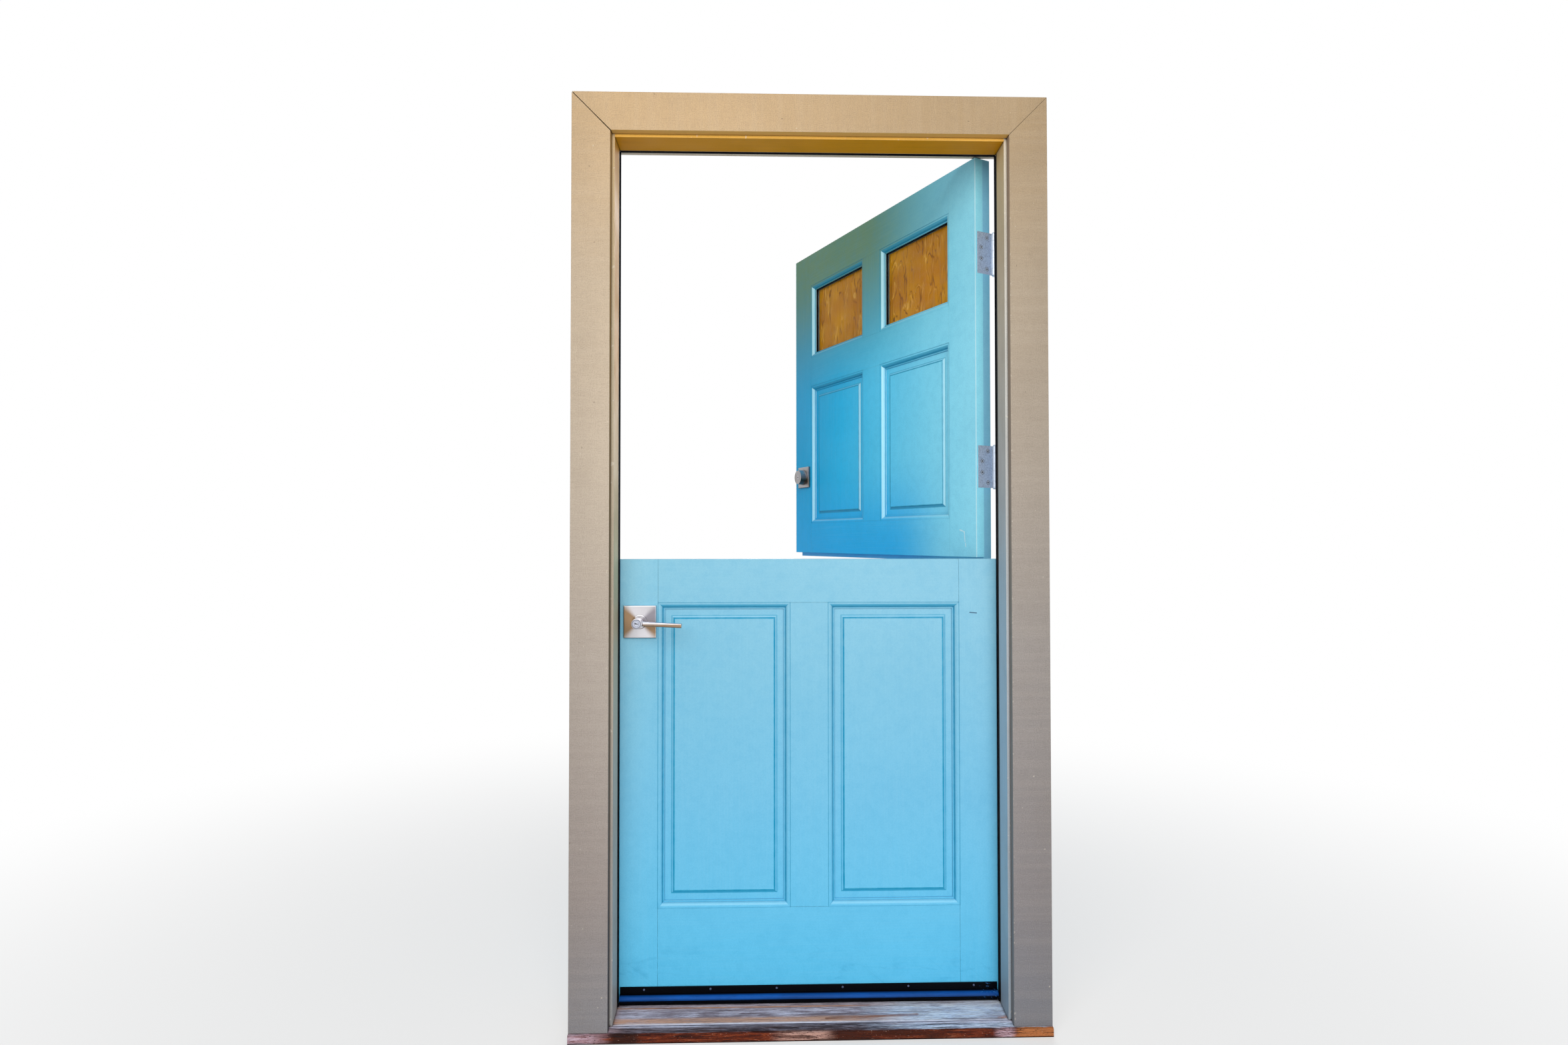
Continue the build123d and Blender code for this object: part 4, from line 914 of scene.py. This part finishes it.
def lite_glass():
    """Amber glass with a pattern of long upright ripples and drawn-out loops."""
    graph = Graph("lite_amber_glass")
    at = graph.place(shut=True)
    bend = graph.noise(at, (30.0, 30.0, 9.0), detail=2.0)
    bent = graph.moved(at, "x", bend, 0.03)
    ripple = graph.noise(bent, (66.0, 66.0, 12.0), detail=1.0, roughness=0.4, distortion=0.5)
    ridge = graph.every(graph.near(ripple, 0.5, 0.006, 0.02), graph.rise(bend, 0.35, 0.6))
    hollow = graph.near(ripple, 0.42, 0.005, 0.018)
    slot = graph.every(graph.near(ripple, 0.58, 0.004, 0.012), graph.rise(bend, 0.56, 0.66))
    cloud = graph.noise(at, 9.0)
    grit = graph.noise(at, 420.0, detail=2.0)
    base = graph.mix(graph.vary(cloud), rgb(188, 120, 0), rgb(212, 148, 0))
    base = graph.coat(
        base,
        (graph.every(ridge, 0.6), 246, 194, 78),
        (graph.every(hollow, 0.8), 116, 64, 0),
        (graph.every(slot, 0.8), 70, 26, 6),
        (graph.rise(grit, 0.45, 0.65, 0.12), 140, 84, 10),
    )
    rough = graph.vary(cloud, 0.18, 0.28)
    return graph.finish(
        base, rough, (ripple, 0.003), (grit, 0.00003), Transmission_Weight=0.1, gloss=0.06
    )


def clear_pane():
    """Thin clear glass with a little dust and smears."""
    graph = Graph("lite_clear_glass")
    at = graph.place(shut=True)
    smear = graph.noise(at, (20.0, 20.0, 60.0), detail=5.0, roughness=0.7)
    spots = graph.flecks(at, 400.0, 0.7, 0.76, 0.06, detail=2.0)
    haze = graph.math("ADD", graph.ease(smear, 0.4, 0.8, 0.004, 0.02), spots)
    base = graph.mix(graph.vary(smear), rgb(206, 216, 214), rgb(226, 232, 230))
    return graph.finish(base, 0.08, (smear, 0.00002), Alpha=haze)


dress(lite_glass(), "lite_glass_left", "lite_glass_right")
dress(clear_pane(), "lite_outer_panes")


# Hardware

nickel = rgb(202, 200, 204)
nickel_grey = rgb(128, 124, 132)
# Tan of the painted reflections of the warm room in the metal
reflected_tan = rgb(134, 100, 52)


def satin_metal(name, shut=False, dark=0.0):
    """Plated metal with fine brushing, painted shade underneath and in its corners, and a painted
    dark reflection by the share given as dark.
    """
    graph = Graph(name)
    at = graph.place(shut)
    brush = graph.noise(at, (60.0, 60.0, 900.0), roughness=0.6)
    spot = graph.noise(at, 240.0, roughness=0.6)
    # Painted shade on the faces turned down
    under = graph.fall(graph.facing((0, 0, 1)), -0.75, 0.15, 0.75)
    sparkle = graph.flecks(at, 900.0, 0.62, 0.7, 0.5, detail=2.0)
    base = graph.coat(
        nickel,
        (under, nickel_grey),
        (graph.rise(brush, 0.35, 0.7, 0.22), nickel_grey),
        (graph.rise(spot, 0.62, 0.75, 0.3), nickel_grey),
        (sparkle, 236, 240, 248),
        # Painted dark reflection of the room
        (dark, 54, 48, 48),
        # Painted shade in the corners
        (graph.corner_shade(0.004, 0.75), 26, 22, 24),
    )
    rough = graph.vary(brush, 0.28, 0.4)
    return graph.finish(base, rough, (brush, 0.00003), (spot, 0.00002), edge=0.0005, Metallic=1.0)


def turned_metal(name, centre, shut=False, dark=0.0):
    """Satin nickel brushed in circles about an axis along Y, with painted reflections and shade."""
    graph, at, x, y, z = begin(name, shut, origin=centre)
    radius = graph.radius(x, z)
    brush = graph.noise(graph.join(radius, y), (2600.0, 60.0, 1.0), roughness=0.7)
    upright = graph.math("DIVIDE", graph.absolute(z), graph.math("MAXIMUM", radius, 0.0001))
    # Painted reflection: pale, grey and tan wedges of sheen
    wedge = graph.fall(graph.ragged(upright, brush, 0.06), 0.6, 0.92)
    right_top = graph.every(graph.rise(x, -0.004, 0.008), graph.rise(z, -0.012, 0.006))
    side = graph.mix(right_top, reflected_tan, nickel_grey)
    # Painted highlight on the rims that face up, painted shade on those that face down
    rim = graph.fall(graph.absolute(graph.facing((0, 1, 0))), 0.8, 0.97)
    upward = graph.rise(graph.facing((0, 0, 1)), -0.4, 0.3)
    base = graph.coat(
        nickel,
        (graph.every(wedge, 0.9), side),
        (graph.rise(brush, 0.35, 0.7, 0.2), nickel_grey),
        (graph.every(rim, 0.8), graph.mix(upward, rgb(120, 104, 92), rgb(244, 246, 250))),
        # Painted dark reflection of the room
        (dark, 46, 40, 40),
        # Painted shade in the corners
        (graph.corner_shade(0.005, 0.85), 28, 24, 26),
    )
    tangent = graph.join(z, 0.0, graph.math("MULTIPLY", x, -1.0))
    world = graph.node(
        "ShaderNodeVectorTransform",
        {"Vector": tangent},
        vector_type="VECTOR",
        convert_from="OBJECT",
        convert_to="WORLD",
    )
    rough = graph.vary(brush, 0.28, 0.38)
    return graph.finish(
        base, rough, (brush, 0.00002), edge=0.0006, Metallic=1.0, Anisotropic=0.6, Tangent=world[0]
    )


def lever_metal():
    """Satin nickel of the levers: painted reflections, lilac above and tan on the lower half, rings
    on the knob.
    """
    graph, at, x, y, z = begin("lever_nickel", origin=middle_of("lever_key_plug"))
    radius = graph.radius(x, z)
    brush = graph.noise(at, (50.0, 1200.0, 1200.0), roughness=0.6)
    front = graph.rise(graph.absolute(graph.facing((0, 1, 0))), 0.5, 0.9)
    knob = graph.fall(radius, 0.0128, 0.0132)
    bar = graph.opposite(knob)
    low = graph.fall(z, -0.0035, 0.001)
    upward = graph.facing((0, 0, 1))
    under = graph.fall(upward, -0.6, 0.1)
    inner_ring = graph.near(radius, 0.0098, 0.0005, 0.0005)
    ring = graph.either(inner_ring, graph.near(radius, 0.0125, 0.0003, 0.0005))
    cool = graph.near(radius, 0.0083, 0.0006, 0.0008, 0.5)
    base = graph.coat(
        nickel,
        # Painted reflections: tan on the lower half and underneath of the bar, lilac on its upper
        # faces
        (graph.every(bar, graph.either(under, graph.every(low, front)), 0.85), reflected_tan),
        (graph.every(bar, graph.rise(upward, 0.3, 0.8)), 206, 206, 222),
        (graph.every(knob, front, cool), 120, 140, 176),
        (graph.every(knob, front, ring, 0.8), 52, 56, 70),
        (graph.rise(brush, 0.35, 0.7, 0.18), nickel_grey),
        # Painted shade in the corners
        (graph.corner_shade(0.004, 0.8), 24, 22, 28),
    )
    rough = graph.vary(brush, 0.26, 0.38)
    return graph.finish(base, rough, (brush, 0.00003), edge=0.0006, Metallic=1.0)


# Strokes of the worn mouth of the keyway, as (start, end, width) from the middle of the plug
keyway_mouth = (
    ((-0.0034, 0.0012), (0.003, 0.0006), 0.0013), ((-0.0032, 0.0014), (-0.0012, 0.0016), 0.002)
)


def plug_metal():
    """Face of the key plug: pale, ringed, with the worn dark mouth of the keyway."""
    graph, at, x, y, z = begin("lever_plug_nickel", origin=middle_of("lever_key_plug"))
    radius = graph.radius(x, z)
    spot = graph.noise(at, 700.0)
    wobble = graph.ragged(z, spot, 0.0012)
    mouth = graph.either(*(graph.stroke(x, wobble, *mark) for mark in keyway_mouth))
    base = graph.coat(
        rgb(196, 200, 212),
        (graph.near(radius, 0.0055, 0.0003, 0.0006, 0.7), 92, 102, 128),
        (graph.rise(spot, 0.5, 0.7, 0.3), 120, 126, 146),
        (graph.every(mouth, 0.95), 12, 12, 18),
    )
    rough = graph.vary(spot, 0.26, 0.36)
    return graph.finish(base, rough, (spot, 0.00003), edge=0.0004, Metallic=1.0)


dress(turned_metal("rose_turned_nickel", middle_of("outer_rose")), "outer_rose", "inner_rose")
dress(lever_metal(), "outer_lever", "inner_lever")
dress(plug_metal(), "lever_key_plug")
# The deadbolt's rose carries a painted dark reflection of the room
deadbolt_middle = middle_of("deadbolt_outer_rose", shut=True)
dress(
    turned_metal("deadbolt_turned_nickel", deadbolt_middle, shut=True, dark=0.45),
    "deadbolt_outer_rose",
)
dress(
    satin_metal("upper_lock_nickel", shut=True),
    "deadbolt_inner_rose",
    "deadbolt_bolt",
    "deadbolt_case",
    "deadbolt_thumb_turn",
    "joining_bolt_base",
    "joining_bolt_slide",
)
# The deadbolt's key plug carries a painted dark reflection of the room
dress(satin_metal("deadbolt_plug_nickel", shut=True, dark=0.3), "deadbolt_key_plug")
dress(
    satin_metal("lower_lock_nickel"),
    "latch_bolt",
    "latch_case",
    "joining_bolt_keeper",
    "latch_strike",
    "deadbolt_strike",
)


def hinge_metal(name, base):
    """Zinc on a hinge: mottled blue-grey plates, a bright barrel, painted shade in the knuckle
    joints and corners.
    """
    graph, at, x, y, z = begin(name, origin=pin)
    radius = graph.radius(x, y)
    barrel = graph.fall(radius, 0.0074, 0.008)
    mottle = graph.noise(at, 260.0, detail=4.0, roughness=0.65)
    scratch = graph.noise(graph.moved(at, "z", x, 1.5), (120.0, 120.0, 900.0), roughness=0.7)
    speck = graph.flecks(at, 620.0, 0.62, 0.7, 0.6, detail=2.0)
    pit = graph.flecks(at, 420.0, 0.36, 0.3, 0.5, detail=2.0)
    base = graph.coat(
        base,
        (graph.rise(mottle, 0.4, 0.68, 0.5), 128, 146, 176),
        (graph.rise(scratch, 0.52, 0.66, 0.35), 112, 128, 158),
        (pit, 84, 96, 122),
        (speck, 238, 244, 252),
        (graph.every(barrel, 0.75), 222, 230, 242),
        (graph.fall(z, 0.09, 0.1, 0.9), 54, 70, 108),
        # Painted shade in the knuckle joints and corners
        (graph.corner_shade(0.004, 0.85, low=0.25, high=0.7), 20, 24, 36),
    )
    rough = graph.vary(mottle, 0.32, 0.46)
    return graph.finish(
        base, rough, (mottle, 0.00006), (scratch, 0.00003), edge=0.0006, Metallic=0.5
    )


dress(
    hinge_metal("hinge_zinc", rgb(192, 208, 228)),
    "upper_door_hinge_leaves",
    "upper_jamb_hinge_leaves",
    "lower_jamb_hinge_leaves",
    "lower_door_hinge_leaves",
    "hinge_pins",
)
screw_metal = hinge_metal("screw_zinc", rgb(216, 222, 232))
dress(screw_metal, "upper_leaf_screws", "lower_leaf_screws", "frame_screws")


# Painted shade in the cross recesses and round the rims of the screws

recess_lift = 0.00004
recess_depth = 0.0004
recess_taper = 0.8
rim_inner, rim_outer = 0.93, 1.1
turn_per_screw = math.radians(23.0)


def screw_heads(node):
    """Middle of each screw head's face, the way it looks and its radius, from the node's mesh."""
    shape = bmesh.new()
    shape.from_mesh(nodes[node].data)
    bmesh.ops.remove_doubles(shape, verts=shape.verts, dist=1e-6)
    left = set(shape.verts)
    heads = []
    while left:
        group = {left.pop()}
        front = set(group)
        while front:
            beyond = {edge.other_vert(vertex) for vertex in front for edge in vertex.link_edges}
            front = beyond & left
            left -= front
            group |= front
        points = np.array([vertex.co[:] for vertex in group])
        middle = (points.max(0) + points.min(0)) / 2
        axis = np.linalg.svd(points - points.mean(0), full_matrices=False)[2][2]
        along = (points - middle) @ axis
        radii = np.linalg.norm(points - middle - np.outer(along, axis), axis=1)
        if radii[along > 0].mean() < radii[along < 0].mean():
            axis, along = -axis, -along
        heads.append((Vector(middle + axis * along.max()), Vector(axis), float(radii.max())))
    shape.free()
    return sorted(heads, key=lambda head: tuple(head[0]))


def cross_points(radius):
    """Outline of a cross recess, with arms that widen a little towards the middle."""
    tip, root, reach = radius * 0.12, radius * 0.19, radius * 0.6
    corner = [(root, root), (tip, reach), (-tip, reach)]
    turns = [Matrix.Rotation(math.radians(90 * quarter), 2) for quarter in range(4)]
    return [turn @ Vector(point) for turn in turns for point in corner]


def ring_points(radius, steps=28):
    angles = [2 * math.pi * step / steps for step in range(steps)]
    return [Vector((radius * math.cos(angle), radius * math.sin(angle))) for angle in angles]


def screw_recesses(body):
    """Painted shade as one scene piece: a dark cross in each screw head of a body, and a dark rim
    round it.
    """
    name = body + "_screw_recesses"
    shape = bmesh.new()
    for index, (face, axis, radius) in enumerate(screw_heads(body + "_screws")):
        side = axis.orthogonal().normalized()
        up = axis.cross(side)
        turn = Matrix.Rotation(turn_per_screw * index, 2)

        def raised(points, height):
            turned = [turn @ point for point in points]
            return [shape.verts.new(face + side * a + up * b + axis * height) for a, b in turned]

        top = raised(cross_points(radius), recess_lift)
        low = raised(cross_points(radius * recess_taper), -recess_depth)
        rim_in = raised(ring_points(radius * rim_inner), recess_lift)
        rim_out = raised(ring_points(radius * rim_outer), recess_lift)
        for first, second in ((low, top), (rim_in, rim_out)):
            for place in range(len(first)):
                after = (place + 1) % len(first)
                shape.faces.new((first[place], first[after], second[after], second[place]))
        shape.faces.new(top)
    mesh = bpy.data.meshes.new(name)
    shape.to_mesh(mesh)
    shape.free()
    mesh.materials.append(recess_shade)
    piece = add_object(name, mesh)
    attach(piece, body)


def recess_shadow():
    """Painted shade: dark metal, mottled."""
    graph = Graph("screw_recess_shade")
    shade_mottle = graph.noise(graph.place(), 900.0)
    base = graph.mix(graph.vary(shade_mottle), rgb(22, 24, 32), rgb(64, 68, 80))
    return graph.finish(base, 0.5, (shade_mottle, 0.00005), Metallic=0.4, gloss=0.2)


# Painted shade for the cross recesses and rims of the screws
recess_shade = recess_shadow()
for body in ("upper_leaf", "lower_leaf", "frame"):
    screw_recesses(body)


# Floor, light and camera

floor_size, floor_drop = 60.0, 0.0005
floor_grey = (0.8, 0.8, 0.8, 1.0)
plain_white = (1.0, 1.0, 1.0, 1.0)
ambient_blue = (0.93, 0.97, 1.0, 1.0)
ambient_strength = 0.34

# Lamps: name, place, target, size, power, colour
lamps = (
    ("key", (-0.9, -4.2, 3.3), (0.0, 0.0, 0.95), (5.0, 3.0), 178.0, (1.0, 0.98, 0.95)),
    ("fill", (3.0, -3.6, 1.0), (0.0, 0.0, 0.8), (2.0, 2.4), 24.0, (0.95, 0.98, 1.0)),
    ("front", (1.3, -4.6, 1.0), (0.0, 0.0, 0.8), (1.8, 2.0), 46.0, (1.0, 0.99, 0.97)),
    ("back", (1.3, 4.4, 2.6), (0.0, 0.0, 1.0), (3.4, 2.4), 110.0, (0.98, 0.99, 1.0)),
)


def ground():
    """Pale floor that fades into the white of the background."""
    bpy.ops.mesh.primitive_plane_add(size=floor_size, location=(0, 0, -floor_drop))
    plane = bpy.context.object
    plane.name = "studio_floor"
    graph = Graph("studio_floor_white")
    far = graph.ease(graph.vector("LENGTH", graph.place()), 0.7, 3.4, 0.45, 1.0)
    light = graph.node("ShaderNodeLightPath")
    seen = graph.either(light["Is Camera Ray"], light["Is Glossy Ray"])
    diffuse = graph.node("ShaderNodeBsdfDiffuse", {"Color": floor_grey})[0]
    glow = graph.node("ShaderNodeEmission", {"Color": plain_white})[0]
    plane.data.materials.append(graph.show(graph.blend(graph.every(far, seen), diffuse, glow)))


def surroundings():
    """Even light from all round, plain white for the camera and in reflections and glass."""
    graph = Graph("studio_surroundings", world=True)
    light = graph.node("ShaderNodeLightPath")
    rays = ("Is Camera Ray", "Is Glossy Ray", "Is Transmission Ray")
    seen = graph.either(*(light[ray] for ray in rays))
    ambient, white = (
        graph.node("ShaderNodeBackground", {"Color": colour, "Strength": strength})[0]
        for colour, strength in ((ambient_blue, ambient_strength), (plain_white, 1.0))
    )
    bpy.context.scene.world = graph.show(graph.blend(seen, ambient, white), "ShaderNodeOutputWorld")


def soft_light(name, place, target, size, power, colour):
    data = bpy.data.lights.new(name, "AREA")
    data.shape = "RECTANGLE"
    data.size, data.size_y = size
    data.energy = power
    data.color = colour
    lamp = add_object(name, data)
    lamp.location = place
    lamp.rotation_euler = (Vector(target) - Vector(place)).to_track_quat("-Z", "Y").to_euler()


def photo_camera():
    """Camera that would look level along Y without its own turns."""
    data = bpy.data.cameras.new("photo_camera")
    data.sensor_fit = "HORIZONTAL"
    data.sensor_width = sensor_width
    data.lens = camera_lens
    camera = add_object("photo_camera", data)
    turn = Matrix.Identity(4)
    for angle, axis in ((camera_yaw, "Z"), (camera_pitch, "X"), (camera_roll, "Y"), (90.0, "X")):
        turn = turn @ Matrix.Rotation(math.radians(angle), 4, axis)
    camera.matrix_world = Matrix.Translation(camera_place) @ turn
    bpy.context.scene.camera = camera


ground()
surroundings()
for lamp in lamps:
    soft_light(*lamp)
photo_camera()
bpy.context.scene.view_settings.view_transform = "Standard"
